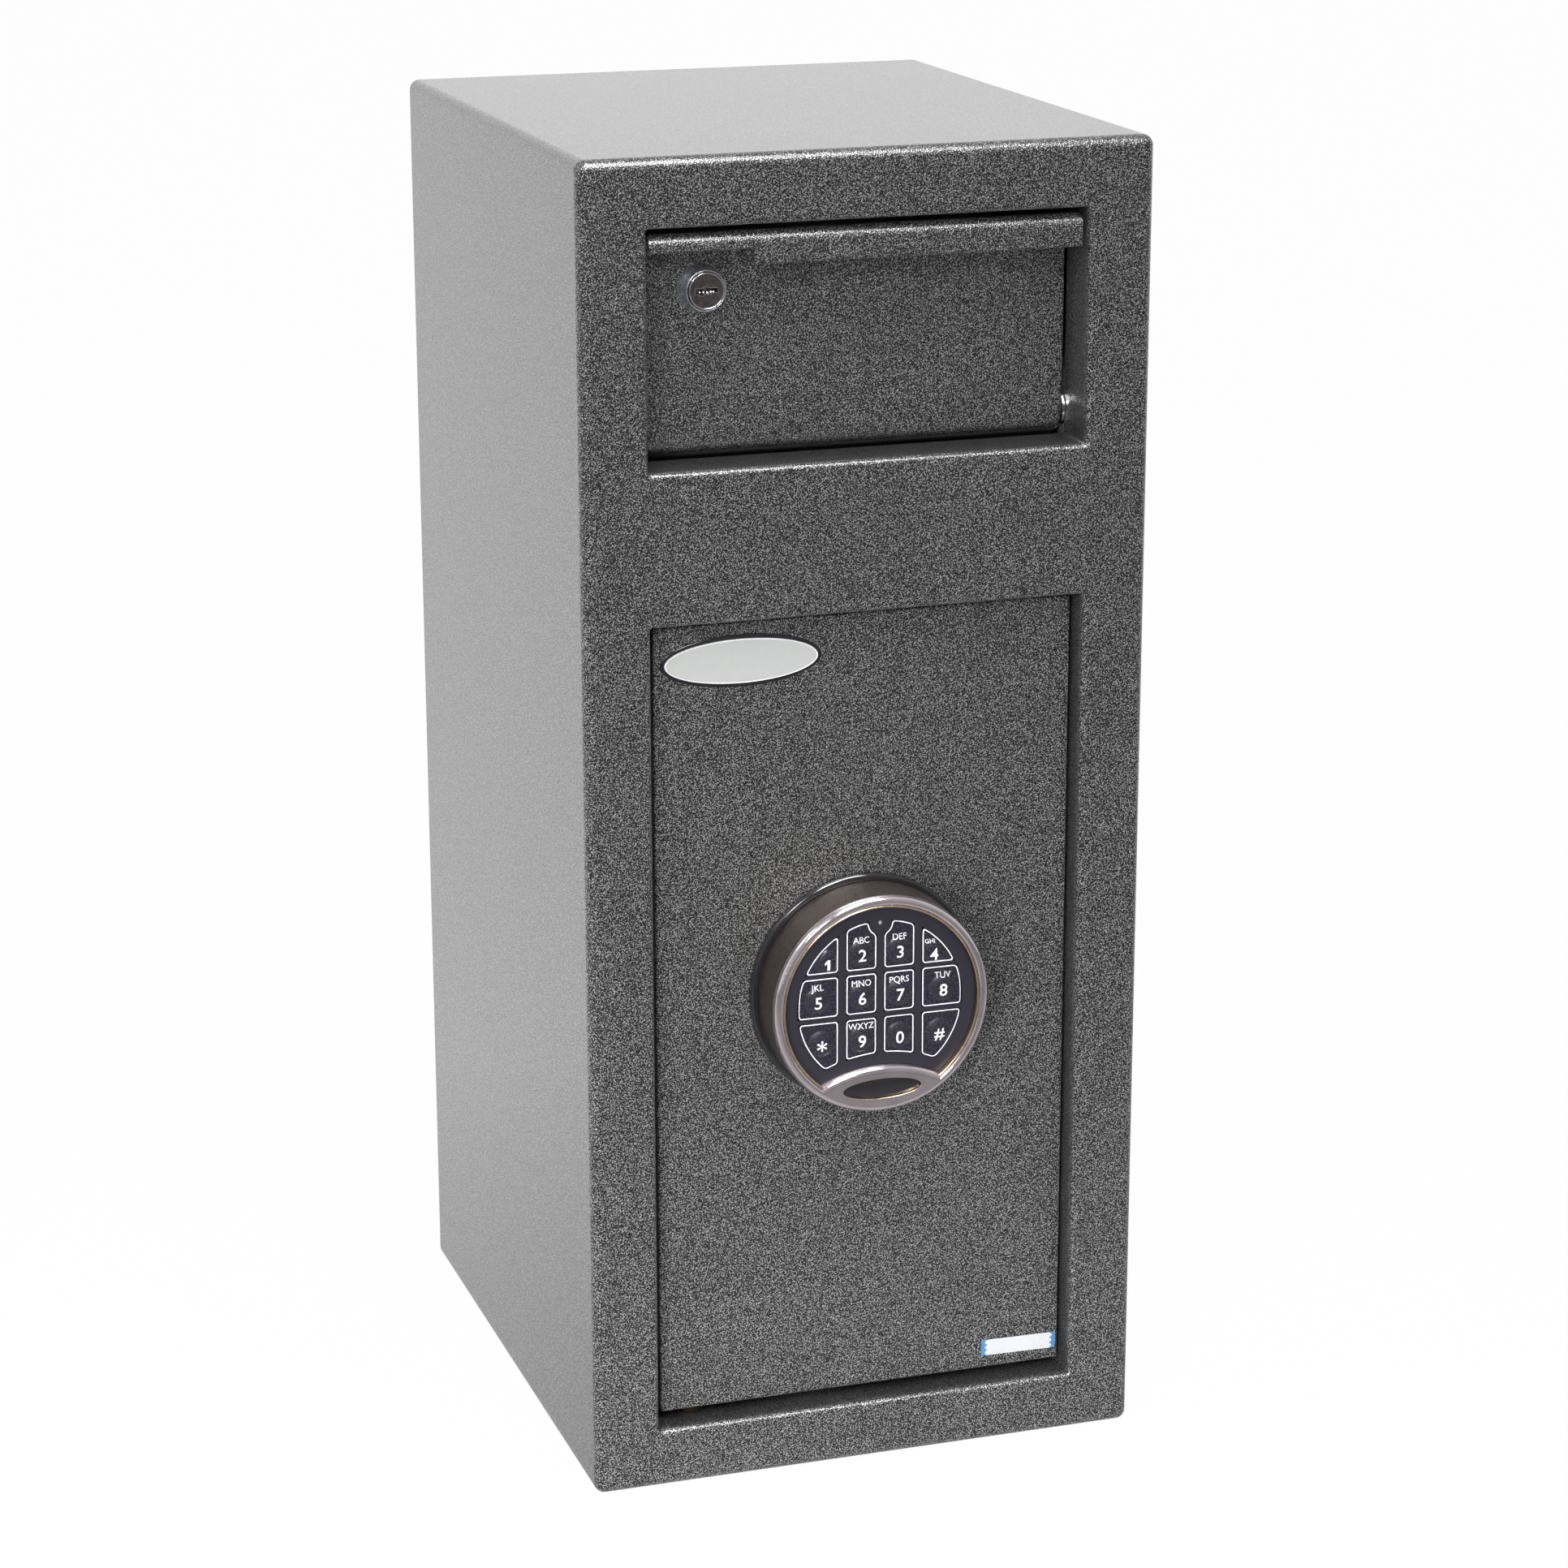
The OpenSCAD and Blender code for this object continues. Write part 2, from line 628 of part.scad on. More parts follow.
module bolt_guide() color([0.45, 0.46, 0.46]) difference() {
    block([guide_x0, door_y1, cover_z0 + bolt_r],
        [guide_x1, bolt_y + bolt_r + guide_back, cover_z1 - bolt_r]);
    for (s = [-1, 1])
        rod_x(bolt_y, keypad_z + s * bolt_spread, bolt_r + fit, guide_x0 - over, guide_x1 + over);
}
module guide_posts() color([0.7, 0.7, 0.7]) for (s = [-1, 1]) {
    z = keypad_z + s * ear_z;
    rod_y(post_x, z, post_r, door_y1, bolt_y + ear_t);
    rod_y(post_x, z, post_shoulder_r, door_y1, bolt_y - ear_t / 2 - pass);
    rod_y(post_x, z, post_head_r, bolt_y + ear_t / 2 + pass, bolt_y + ear_t / 2 + pass + post_head_t);
}

module locking_bolt(s) rod_x(bolt_y, keypad_z + s * bolt_spread, bolt_r, bar_x1, bolt_tip_x);
module locking_bolt_upper() color([0.8, 0.8, 0.81]) locking_bolt(1);
module locking_bolt_lower() color([0.8, 0.8, 0.81]) locking_bolt(-1);

// Upright bar with two slotted ears and the rack that the pinion drives
module bolt_bar() color([0.6, 0.6, 0.61]) {
    block([bar_x0, bolt_y - bar_half, keypad_z - bolt_spread - bar_over],
        [bar_x1, bolt_y + bar_half, keypad_z + bolt_spread + bar_over]);
    for (s = [-1, 1]) slab(bolt_y - ear_t / 2, bolt_y + ear_t / 2)
        translate([post_x, keypad_z + s * ear_z]) difference() {
            translate([-stroke - post_r - ear_end, -ear_half_h])
                square([stroke + post_r + ear_end + bar_x1 - post_x, 2 * ear_half_h]);
            translate([-stroke, -post_r - fit]) square([stroke, 2 * (post_r + fit)]);
            for (x = [-stroke, 0]) translate([x, 0]) circle(r = post_r + fit);
        }
    slab(bolt_y - rack_half, bolt_y + rack_half) rack_outline();
}
module rack_outline() {
    pitch = PI * gear_module;
    root_z = keypad_z - pitch_r - 1.25 * gear_module;
    tip_z = keypad_z - pitch_r + gear_module;
    half_root = pitch / 4 - backlash / 4 + 1.25 * gear_module * tan(pressure);
    half_tip = pitch / 4 - backlash / 4 - gear_module * tan(pressure);
    x0 = -(floor(stroke / pitch) + 2) * pitch;
    translate([x0 - pitch / 2, root_z - rack_depth]) square([bar_x1 - x0 + pitch / 2, rack_depth]);
    for (x = [x0:pitch:2 * pitch]) translate([x, 0])
        polygon([[-half_root, root_z - fit], [half_root, root_z - fit], [half_tip, tip_z],
            [-half_tip, tip_z]]);
}

// Involute of the base circle: half the angle that a tooth takes up at a radius
function involute(a) = tan(a) * 180 / PI - a;
function tooth_half_angle(r, base_r) = (90 / pinion_teeth) - (backlash / 4) / pitch_r * 180 / PI
    + involute(pressure) - involute(acos(min(1, base_r / r)));
module pinion_outline() {
    base_r = pitch_r * cos(pressure);
    root_r = pitch_r - 1.25 * gear_module;
    tip_r = pitch_r + gear_module;
    foot_half = tooth_half_angle(base_r, base_r);
    radii = [for (i = [0:6]) base_r + (tip_r - base_r) * i / 6];
    circle(r = root_r);
    for (k = [0:pinion_teeth - 1]) rotate(360 / pinion_teeth * (k + 0.5)) polygon(concat(
        [(root_r - tooth_sink) * [cos(-foot_half), sin(-foot_half)]],
        [for (r = radii) r * [cos(-tooth_half_angle(r, base_r)), sin(-tooth_half_angle(r, base_r))]],
        [for (i = [6:-1:0]) radii[i] * [cos(tooth_half_angle(radii[i], base_r)),
            sin(tooth_half_angle(radii[i], base_r))]],
        [(root_r - tooth_sink) * [cos(foot_half), sin(foot_half)]]));
}
module drive_pinion() color([0.78, 0.66, 0.36]) slab(gear_y0, gear_y1) translate([0, keypad_z]) difference() {
    pinion_outline();
    circle(r = gear_seat_r + fit / 2);
}

module spindle_bearing() color([0.78, 0.66, 0.36]) difference() {
    union() {
        rod_y(0, keypad_z, bush_r, door_y0, door_y1);
        rod_y(0, keypad_z, bush_flange_r, door_y1, door_y1 + bush_flange_t);
    }
    rod_y(0, keypad_z, spindle_r + fit, door_y0 - over, door_y1 + bush_flange_t + over);
}
module keypad_spindle() color([0.7, 0.7, 0.71]) {
    rod_y(0, keypad_z, spindle_flange_r, housing_back_y - housing_floor - spindle_flange_t,
        housing_back_y - housing_floor);
    rod_y(0, keypad_z, spindle_r, housing_back_y - housing_floor, gear_y0);
    rod_y(0, keypad_z, gear_seat_r, gear_y0, gear_y1);
    rod_y(0, keypad_z, spindle_tail_r, gear_y1, tail_y);
}

module keypad_base_ring() color([0.06, 0.06, 0.07]) difference() {
    rod_y(0, keypad_z, base_ring_r, door_y0 - base_ring_t, door_y0);
    rod_y(0, keypad_z, base_ring_hole_r, door_y0 - base_ring_t - over, door_y0 + over);
}

// Turned cup: back wall, barrel and a rounded bezel, with a bridge across its lower part
module keypad_housing() color([0.62, 0.6, 0.58]) translate([0, 0, keypad_z]) difference() {
    union() {
        rotate([90, 0, 0]) rotate_extrude() housing_profile();
        slab(bridge_y, membrane_y + membrane_t) bridge_outline();
    }
    slab(bezel_y - over, plate_y + plate_t) translate([0, plate_v]) oval(plate_half_w, plate_half_h);
    rod_y(0, 0, spindle_r + fit, housing_back_y - housing_floor - over, housing_back_y + over);
}
// Radius and height of the cup's section, with height towards the front
module housing_profile() {
    back = -housing_back_y;
    front = -bezel_y;
    floor_h = back + housing_floor;
    ring_h = -(membrane_y + membrane_t);
    difference() {
        translate([0, back]) square([bezel_r, front - back - bezel_round]);
        translate([-over, floor_h]) square([cavity_r + over, front]);
    }
    translate([membrane_r, ring_h]) square([bezel_r - membrane_r, front - bezel_round - ring_h]);
    translate([membrane_r + bezel_round, front - bezel_round]) circle(r = bezel_round);
    translate([bezel_r - bezel_round, front - bezel_round]) circle(r = bezel_round);
    translate([membrane_r + bezel_round, front - bezel_round])
        square([max(0.01, bezel_r - membrane_r - 2 * bezel_round), bezel_round]);
}
module bridge_outline() intersection() {
    circle(r = membrane_r + bridge_over);
    translate([0, bridge_arc_v]) circle(r = bridge_arc_r);
}

// One key zone, drawn about the keypad's axis
module zone(row, col) difference() {
    intersection() {
        circle(r = zone_r);
        translate([col_edges[col][0], row_edges[row][0]])
            square([col_edges[col][1] - col_edges[col][0], row_edges[row][1] - row_edges[row][0]]);
    }
    translate([0, lamp_v]) circle(r = lamp_clear_r);
    translate([0, bridge_arc_v]) circle(r = lowest_arc_r);
}
// The same zone with a margin all round
module zone_hole(row, col) difference() {
    intersection() {
        circle(r = zone_r + key_gap);
        translate([col_edges[col][0] - key_gap, row_edges[row][0] - key_gap])
            square([col_edges[col][1] - col_edges[col][0] + 2 * key_gap,
                row_edges[row][1] - row_edges[row][0] + 2 * key_gap]);
    }
    translate([0, lamp_v]) circle(r = lamp_clear_r - key_gap);
    translate([0, bridge_arc_v]) circle(r = lowest_arc_r - key_gap);
}
module keypad_membrane() color([0.09, 0.09, 0.1]) translate([0, 0, keypad_z])
    slab(membrane_y, membrane_y + membrane_t) difference() {
        circle(r = membrane_r - plate_gap);
        translate([0, bridge_arc_v]) circle(r = bridge_arc_r + plate_gap);
        for (row = [0:2], col = [0:3]) zone_hole(row, col);
        translate([0, lamp_v]) circle(r = lamp_r + plate_gap);
    }
module key(row, col) color([0.1, 0.1, 0.11]) translate([0, 0, keypad_z]) {
    slab(membrane_y, membrane_y + key_t) zone(row, col);
    dome_ball = (dome_r * dome_r + dome_h * dome_h) / (2 * dome_h);
    intersection() {
        translate([dome_u[row][col], membrane_y - dome_h + dome_ball, dome_v[row][col]])
            sphere(r = dome_ball);
        slab(membrane_y - dome_h - over, membrane_y + 0.2) intersection() {
            translate([dome_u[row][col], dome_v[row][col]]) circle(r = dome_r);
            zone(row, col);
        }
    }
}
module status_lamp() color([0.4, 0.4, 0.42])
    rod_y(0, keypad_z + lamp_v, lamp_r, membrane_y - lamp_proud, board_y);
module keypad_plate() color([0.05, 0.05, 0.06]) translate([0, 0, keypad_z])
    slab(plate_y, plate_y + plate_t) translate([0, plate_v])
        oval(plate_half_w - plate_gap, plate_half_h - plate_gap);
module keypad_board() color([0.1, 0.32, 0.18])
    rod_y(0, keypad_z, cavity_r - key_gap, board_y, board_y + board_t);
module batteries() color([0.72, 0.6, 0.25]) for (s = [-1, 1])
    rod_x(board_y + board_t + cell_r + key_gap, keypad_z + s * cell_offset, cell_r, -cell_l / 2, cell_l / 2);

// Oval badge: a dark rim round a bare plate
module badge_place(y0, y1) slab(y0, y1) translate([door_x0 + badge_w / 2 + badge_inset_x,
    door_top - badge_h / 2 - badge_inset_z]) children();
module badge_rim() color([0.07, 0.07, 0.08]) badge_place(door_y0 - badge_rim_t, door_y0) difference() {
    oval(badge_w / 2, badge_h / 2);
    oval(badge_w / 2 - badge_rim_w, badge_h / 2 - badge_rim_w);
}
module badge_plate() color([0.66, 0.67, 0.67]) badge_place(door_y0 - badge_plate_t, door_y0)
    oval(badge_w / 2 - badge_rim_w - fit, badge_h / 2 - badge_rim_w - fit);
module door_label() color([0.85, 0.87, 0.88]) {
    corner = [door_x1 - label_inset_x - label_w, door_y0 - label_t, door_bottom + label_inset_z];
    block(corner, corner + [label_w, label_t, label_h]);
}

// Hopper panel: face, pull lip with its notch, and a lower edge curled about the pivot
module hopper_front() color([0.35, 0.36, 0.36]) difference() {
    union() {
        bar(-hopper_x, hopper_x) lip_section(lip_h);
        bar(-hopper_x, hopper_x) {
            translate([panel_y0, tip_up - curl_r]) square([hopper_t, hopper_top - hopper_t / 2 - pivot_z]);
            translate([pivot_y, pivot_z]) intersection() {
                annulus(curl_r, curl_r - hopper_t);
                wedge(180, 270 - tray_slope, 2 * curl_r);
            }
        }
    }
    block([-hopper_x - over, lip_y - over, lock_z - lock_r],
        [-hopper_x + notch_w, lip_y + hopper_t + lip_bend_r, hopper_top - notch_h]);
    rod_y(lock_x, lock_z, lock_body_r + fit, panel_y0 - over, panel_y1 + over);
}
// Section of the lip in Y and Z: over the top of the panel, forward, and down at the front
module lip_section(h) difference() {
    union() {
        translate([lip_y, hopper_top - h]) square([hopper_t, h - lip_bend_r]);
        translate([lip_y + lip_bend_r, hopper_top - hopper_t])
            square([panel_y1 - lip_y - lip_bend_r, hopper_t]);
        intersection() {
            translate([lip_y + lip_bend_r, hopper_top - lip_bend_r])
                annulus(lip_bend_r, max(0.2, lip_bend_r - hopper_t));
            translate([lip_y, hopper_top - lip_bend_r]) square(lip_bend_r);
        }
    }
}

// Tray: a sloping floor from the curl to the back, with a cheek at each side
module hopper_tray() color([0.4, 0.41, 0.41]) {
    reach = sqrt(tray_r * tray_r - curl_r * curl_r) - tray_gap;
    bar(-hopper_x, hopper_x) translate([pivot_y, pivot_z]) rotate(-tray_slope)
        translate([0, -curl_r]) square([reach, hopper_t]);
    for (s = [0, 1]) mirror([s, 0, 0]) difference() {
        bar(hopper_x - hopper_t, hopper_x) translate([pivot_y, pivot_z]) cheek_outline();
        rod_x(pivot_y, pivot_z, pivot_pin_r + fit, hopper_x - 2 * hopper_t, hopper_x + over);
    }
}
module cheek_outline() difference() {
    union() {
        circle(r = tray_r);
        intersection() {
            circle(r = ear_r);
            wedge(ear_touch - ear_span, ear_touch, 2 * ear_r);
        }
    }
    translate([-2 * ear_r + panel_y1 - pivot_y, -2 * ear_r]) square([2 * ear_r, 4 * ear_r]);
    rotate(-tray_slope) translate([-2 * ear_r, -4 * ear_r - curl_r + hopper_t]) square(4 * ear_r);
    intersection() {
        annulus(curl_r + over, cheek_boss_r);
        wedge(180, 270 - tray_slope + cheek_back_off, 2 * curl_r);
    }
}

// Cam lock: collar and barrel through the panel, nut behind it, plug inside, cam on its tail
module cam_lock_housing() color([0.8, 0.8, 0.81]) translate([lock_x, 0, lock_z]) difference() {
    union() {
        rod_y(0, 0, lock_body_r, panel_y0, lock_end_y);
        translate([0, panel_y0, 0]) rotate([90, 0, 0]) cylinder(r1 = lock_r, r2 = plug_r + collar_rim,
            h = panel_y0 - lock_front_y);
    }
    rod_y(0, 0, plug_r + fit, lock_front_y - over, lock_end_y + over);
}
module cam_lock_nut() color([0.75, 0.75, 0.76]) slab(panel_y1, panel_y1 + nut_t)
    translate([lock_x, lock_z]) difference() {
        polygon([for (i = [0:5]) nut_r * [cos(60 * i + 30), sin(60 * i + 30)]]);
        circle(r = lock_body_r + fit);
    }
module cam_lock_plug() color([0.55, 0.53, 0.53]) translate([lock_x, 0, lock_z]) difference() {
    union() {
        rod_y(0, 0, plug_r, lock_front_y - plug_proud, lock_end_y);
        block([-drive_half, lock_end_y, -drive_half], [drive_half, cam_y0 + cam_t, drive_half]);
    }
    block([-slot_w / 2, lock_front_y - over, -slot_h / 2], [slot_w / 2, lock_front_y + slot_d, slot_h / 2]);
}
// The cam lies flat to the right when the hopper is free to tilt
module lock_cam() color([0.75, 0.75, 0.76]) slab(cam_y0, cam_y0 + cam_t) translate([lock_x, lock_z])
    difference() {
        union() {
            circle(r = cam_half_w);
            translate([0, -cam_half_w]) square([cam_l - cam_half_w, 2 * cam_half_w]);
            translate([cam_l - cam_half_w, 0]) circle(r = cam_half_w);
        }
        translate(-[1, 1] * (drive_half + fit)) square(2 * (drive_half + fit));
    }
module cam_screw() color([0.75, 0.75, 0.76])
    rod_y(lock_x, lock_z, cam_screw_r, cam_y0 + cam_t, cam_y0 + cam_t + cam_screw_t);

body_shell();
rear_panel();
face_plate();
hopper_surround();
door_surround();
hopper_baffle();
lock_strike();
hopper_brackets();
hopper_pivots();
floor_mat();
hinge_pin_lower();
hinge_pin_upper();
hinge_washers();
door_panel();
door_hinge_lower();
door_hinge_upper();
fixed_dog_bar();
inner_cover();
cover_screws();
lock_case();
circuit_board();
solenoid();
bolt_guide();
guide_posts();
spindle_bearing();
keypad_base_ring();
badge_rim();
badge_plate();
door_label();
bolt_bar();
locking_bolt_upper();
locking_bolt_lower();
solenoid_plunger();
keypad_housing();
keypad_membrane();
keypad_plate();
status_lamp();
keypad_board();
batteries();
keypad_spindle();
drive_pinion();
key(0, 0);  // key_1
key(0, 1);  // key_2
key(0, 2);  // key_3
key(0, 3);  // key_4
key(1, 0);  // key_5
key(1, 1);  // key_6
key(1, 2);  // key_7
key(1, 3);  // key_8
key(2, 0);  // key_star
key(2, 1);  // key_9
key(2, 2);  // key_0
key(2, 3);  // key_hash
hopper_front();
hopper_tray();
cam_lock_housing();
cam_lock_nut();
cam_lock_plug();
lock_cam();
cam_screw();
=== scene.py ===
# %% [markdown]
# # A deposit safe with a tilting hopper and a round keypad
#
# The safe is a folded steel box, about half a metre tall. Its front has two openings: a hopper tilts out of
# the upper one, and a door with an electronic keypad closes the lower one. The construction comes from the
# CAD model, which is loaded first. This script gives the safe its visible skins, its small detail and its
# finishes.
#
# All sizes here are in millimetres and become metres when a mesh is made.

import math

import bmesh
import bpy
import numpy as np
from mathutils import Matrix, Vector
from mathutils.geometry import tessellate_polygon


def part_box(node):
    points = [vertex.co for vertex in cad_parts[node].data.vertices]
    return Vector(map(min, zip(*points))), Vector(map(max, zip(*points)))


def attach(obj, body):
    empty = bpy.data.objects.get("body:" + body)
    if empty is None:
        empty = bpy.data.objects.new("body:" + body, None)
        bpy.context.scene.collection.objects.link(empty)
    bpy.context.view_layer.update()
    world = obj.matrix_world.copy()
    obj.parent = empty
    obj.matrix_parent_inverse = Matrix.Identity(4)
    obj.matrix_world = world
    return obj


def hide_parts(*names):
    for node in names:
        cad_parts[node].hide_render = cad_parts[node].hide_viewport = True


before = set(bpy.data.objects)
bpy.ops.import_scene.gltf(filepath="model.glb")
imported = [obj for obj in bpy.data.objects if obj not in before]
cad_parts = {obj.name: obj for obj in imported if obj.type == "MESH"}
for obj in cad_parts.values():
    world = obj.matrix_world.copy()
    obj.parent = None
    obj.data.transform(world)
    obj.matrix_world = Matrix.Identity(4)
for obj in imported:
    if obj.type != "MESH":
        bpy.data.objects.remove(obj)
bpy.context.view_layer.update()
MM = 0.001

# %% [markdown]
# ## Surfaces from arrays
#
# A shape is a grid of points, worked out as one array. The rows run along a path or up a profile, and the
# columns run across it. Four helpers are enough: one turns a grid into faces, one carries a loop from level
# to level, one fills a flat region that has holes, and one joins surfaces into a closed mesh. Working with
# whole arrays keeps each formula in one place.

# %% Grids
def box_mm(node):
    """The lowest and highest corner of a CAD node, in millimetres."""
    lowest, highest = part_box(node)
    return np.array(lowest) / MM, np.array(highest) / MM


def skin(points, wrap_rows=False, wrap_columns=False, number=0):
    """A grid of points as a surface. Each corner and its next neighbours both ways make one face, and a
    wrapped direction meets its own start. The number picks the material."""
    rows, columns = points.shape[:2]
    i = np.arange(rows if wrap_rows else rows - 1)[:, None]
    j = np.arange(columns if wrap_columns else columns - 1)[None, :]
    i_next, j_next = (i + 1) % rows, (j + 1) % columns
    faces = [i * columns + j, i_next * columns + j, i_next * columns + j_next, i * columns + j_next]
    return points.reshape(-1, 3), np.stack(faces, axis=-1).reshape(-1, 4), number


def at_depth(flat, y):
    """Points of X and Z, set at a depth."""
    return np.stack([flat[..., 0], np.full(flat.shape[:-1], y), flat[..., 1]], axis=-1)


def at_height(flat, z):
    """Points of X and Y, set at a height."""
    return np.stack([flat[..., 0], flat[..., 1], np.full(flat.shape[:-1], z)], axis=-1)


def at_side(flat, x):
    """Points of Y and Z, set at a distance to the side."""
    return np.stack([np.full(flat.shape[:-1], x), flat[..., 0], flat[..., 1]], axis=-1)


def tube(loops, place, levels, wrap_rows=False):
    """Loops of points, each set at its level and joined to the next one, closed all the way round."""
    rows = np.stack([place(loop, level) for loop, level in zip(loops, levels)])
    return skin(rows, wrap_rows=wrap_rows, wrap_columns=True)


# %% Flat regions, loops and turned profiles
def region(loops, place, level, number=0):
    """A flat region between an outer loop and its holes, cut into triangles and set at a level."""
    rings = [[Vector((a, b, 0)) for a, b in loop] for loop in loops]
    triangles = np.array(tessellate_polygon(rings))
    return place(np.concatenate(loops), level), triangles, number


CORNER_STEPS = 6


def corner_loop(x0, x1, z0, z1, radius, steps=CORNER_STEPS):
    """The corners of a rectangle moved outwards by a radius: each corner becomes a quarter circle."""
    quarter = np.linspace(0, np.pi / 2, steps + 1)
    angles = np.concatenate([quarter + k * np.pi / 2 for k in range(4)])
    centres = np.repeat([(x1, z1), (x0, z1), (x0, z0), (x1, z0)], steps + 1, axis=0)
    return centres + radius * np.column_stack([np.cos(angles), np.sin(angles)])


def directions(count):
    """Unit vectors all the way round: the cosine and the sine of evenly spread angles."""
    angles = np.linspace(0, 2 * np.pi, count, endpoint=False)
    return np.column_stack([np.cos(angles), np.sin(angles)])


def ring_loop(x, z, radius, count=40):
    """A circle: the centre plus the radius times the directions."""
    return np.array([x, z]) + radius * directions(count)


def arc(centre, radius, start, end, steps=8):
    """Points on a circle from one angle to another, in degrees."""
    angles = np.radians(np.linspace(start, end, steps + 1))
    return np.array(centre) + radius * np.column_stack([np.cos(angles), np.sin(angles)])


def turned(profile, x, z, count=96, wrap_rows=True, number=0):
    """A profile of radius and depth turned about an axis along Y: X and Z follow cosine and sine."""
    cosine, sine = directions(count).T
    radius, depth = np.asarray(profile)[:, 0:1], np.asarray(profile)[:, 1:2]
    points = np.stack([x + radius * cosine, depth + 0 * cosine, z + radius * sine], axis=-1)
    return skin(points, wrap_rows=wrap_rows, wrap_columns=True, number=number)


# %% Join surfaces into a piece
MERGE = 2e-6  # metres between two points that become one


def make_piece(name, surfaces, materials, body, stands_for=(), sharp=35):
    """Joins surfaces into one mesh, merges their seams, turns the faces outwards and sets the shading:
    smooth, with a hard edge where faces meet at more than the sharp angle."""
    starts = np.cumsum([0] + [len(points) for points, _, _ in surfaces[:-1]])
    points = np.concatenate([points for points, _, _ in surfaces]) * MM
    faces = [face for start, surface in zip(starts, surfaces) for face in (surface[1] + start).tolist()]
    numbers = np.concatenate([np.full(len(corners), number) for _, corners, number in surfaces])
    mesh = bpy.data.meshes.new(name)
    mesh.from_pydata(points.tolist(), [], faces)
    mesh.polygons.foreach_set("material_index", numbers.astype(np.int32))
    work = bmesh.new()
    work.from_mesh(mesh)
    bmesh.ops.remove_doubles(work, verts=work.verts, dist=MERGE)
    bmesh.ops.dissolve_degenerate(work, edges=work.edges, dist=MERGE / 10)
    bmesh.ops.recalc_face_normals(work, faces=work.faces)
    work.to_mesh(mesh)
    open_edges = sum(len(edge.link_faces) != 2 for edge in work.edges)
    work.free()
    mesh.shade_smooth()
    mesh.set_sharp_from_angle(angle=math.radians(sharp))
    piece = bpy.data.objects.new(name, mesh)
    bpy.context.scene.collection.objects.link(piece)
    for material in materials:
        mesh.materials.append(material)
    piece.modifiers.new("even shading", "WEIGHTED_NORMAL").keep_sharp = True
    if stands_for:
        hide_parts(*stands_for)
    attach(piece, body)
    print(f"{name}: {len(mesh.polygons)} faces, {open_edges} open edges")
    return piece


# %% [markdown]
# ## Finishes
#
# Each finish is a small node tree that reads Object coordinates, so that it stays still on the piece. A
# noise texture gives the unevenness of real paint and metal, a colour ramp turns it into colour, and the
# same noise feeds roughness and bump, so that what looks raised also catches the light.

# %% Materials, noise and sums
def new_material(name, roughness=0.5, metallic=0.0):
    """A material with its Principled shader, and the place on the piece as its source."""
    material = bpy.data.materials.new(name)
    material.use_nodes = True
    tree = material.node_tree
    shader = tree.nodes["Principled BSDF"]
    shader.inputs["Roughness"].default_value = roughness
    shader.inputs["Metallic"].default_value = metallic
    return material, tree, shader, tree.nodes.new("ShaderNodeTexCoord").outputs["Object"]


def noise(tree, place, scale, detail=2.0, distortion=0.0):
    """A noise pattern with so many cells to the metre."""
    node = tree.nodes.new("ShaderNodeTexNoise")
    node.inputs["Scale"].default_value = scale
    node.inputs["Detail"].default_value = detail
    node.inputs["Distortion"].default_value = distortion
    tree.links.new(place, node.inputs["Vector"])
    return node.outputs["Fac"]


def math_node(tree, operation, *values):
    """One sum, each of whose values is a number or another node's output."""
    node = tree.nodes.new("ShaderNodeMath")
    node.operation = operation
    for socket, value in zip(node.inputs, values):
        if isinstance(value, (int, float)):
            socket.default_value = value
        else:
            tree.links.new(value, socket)
    return node.outputs["Value"]


# %% Colour stops and bump
def ramp(tree, source, stops, target):
    """Sends a value through colour stops to a shader's socket. Each stop is a position and a grey level or a
    colour."""
    node = tree.nodes.new("ShaderNodeValToRGB")
    tree.links.new(source, node.inputs["Fac"])
    elements = node.color_ramp.elements
    while len(elements) < len(stops):
        elements.new(0.5)
    for element, (position, colour) in zip(elements, stops):
        element.position = position
        element.color = (*((colour,) * 3 if isinstance(colour, (int, float)) else colour), 1)
    tree.links.new(node.outputs["Color"], target)


def bump(tree, shader, height, strength, distance_mm, socket="Normal"):
    """Lets a value tilt the surface's normal, or its coat's, as if it stood out by a distance."""
    node = tree.nodes.new("ShaderNodeBump")
    node.inputs["Strength"].default_value = strength
    node.inputs["Distance"].default_value = distance_mm * MM
    tree.links.new(height, node.inputs["Height"])
    tree.links.new(node.outputs["Normal"], shader.inputs[socket])


# %% [markdown]
# ## Hammertone paint
#
# Hammered paint dries into tiny domes, with bright metal flakes drawn into worm-like lines between them. A
# pattern of cells would look too regular. A noise of one fine scale, slightly distorted, wanders in the same
# way: its high values become the flakes and its low values the dark hollows. The pattern is turned away from
# the axes, because the noise's own grid would show on a flat face. The same value makes the paint shinier
# along the flakes and gives the bump that breaks up a highlight on a fold. The whole cabinet has one paint,
# but the sides, top and back get a copy with a weaker pattern on a lighter ground, which is painted light:
# the washed-out look of light at a grazing angle. The folded returns get a darker copy, which is painted
# shade of the recesses.

# %% Paint recipes
FLAKE_SCALE = 2420
FLAKE_SHARPNESS, FLAKE_MIDDLE = 2.0, 0.42
FLAKE_TURN = (0.6, 0.5, 0.4)
HOLLOW_DARKER, GROUND_DARKER, FLAKE_BRIGHTER = 0.9, 0.3, 7.6


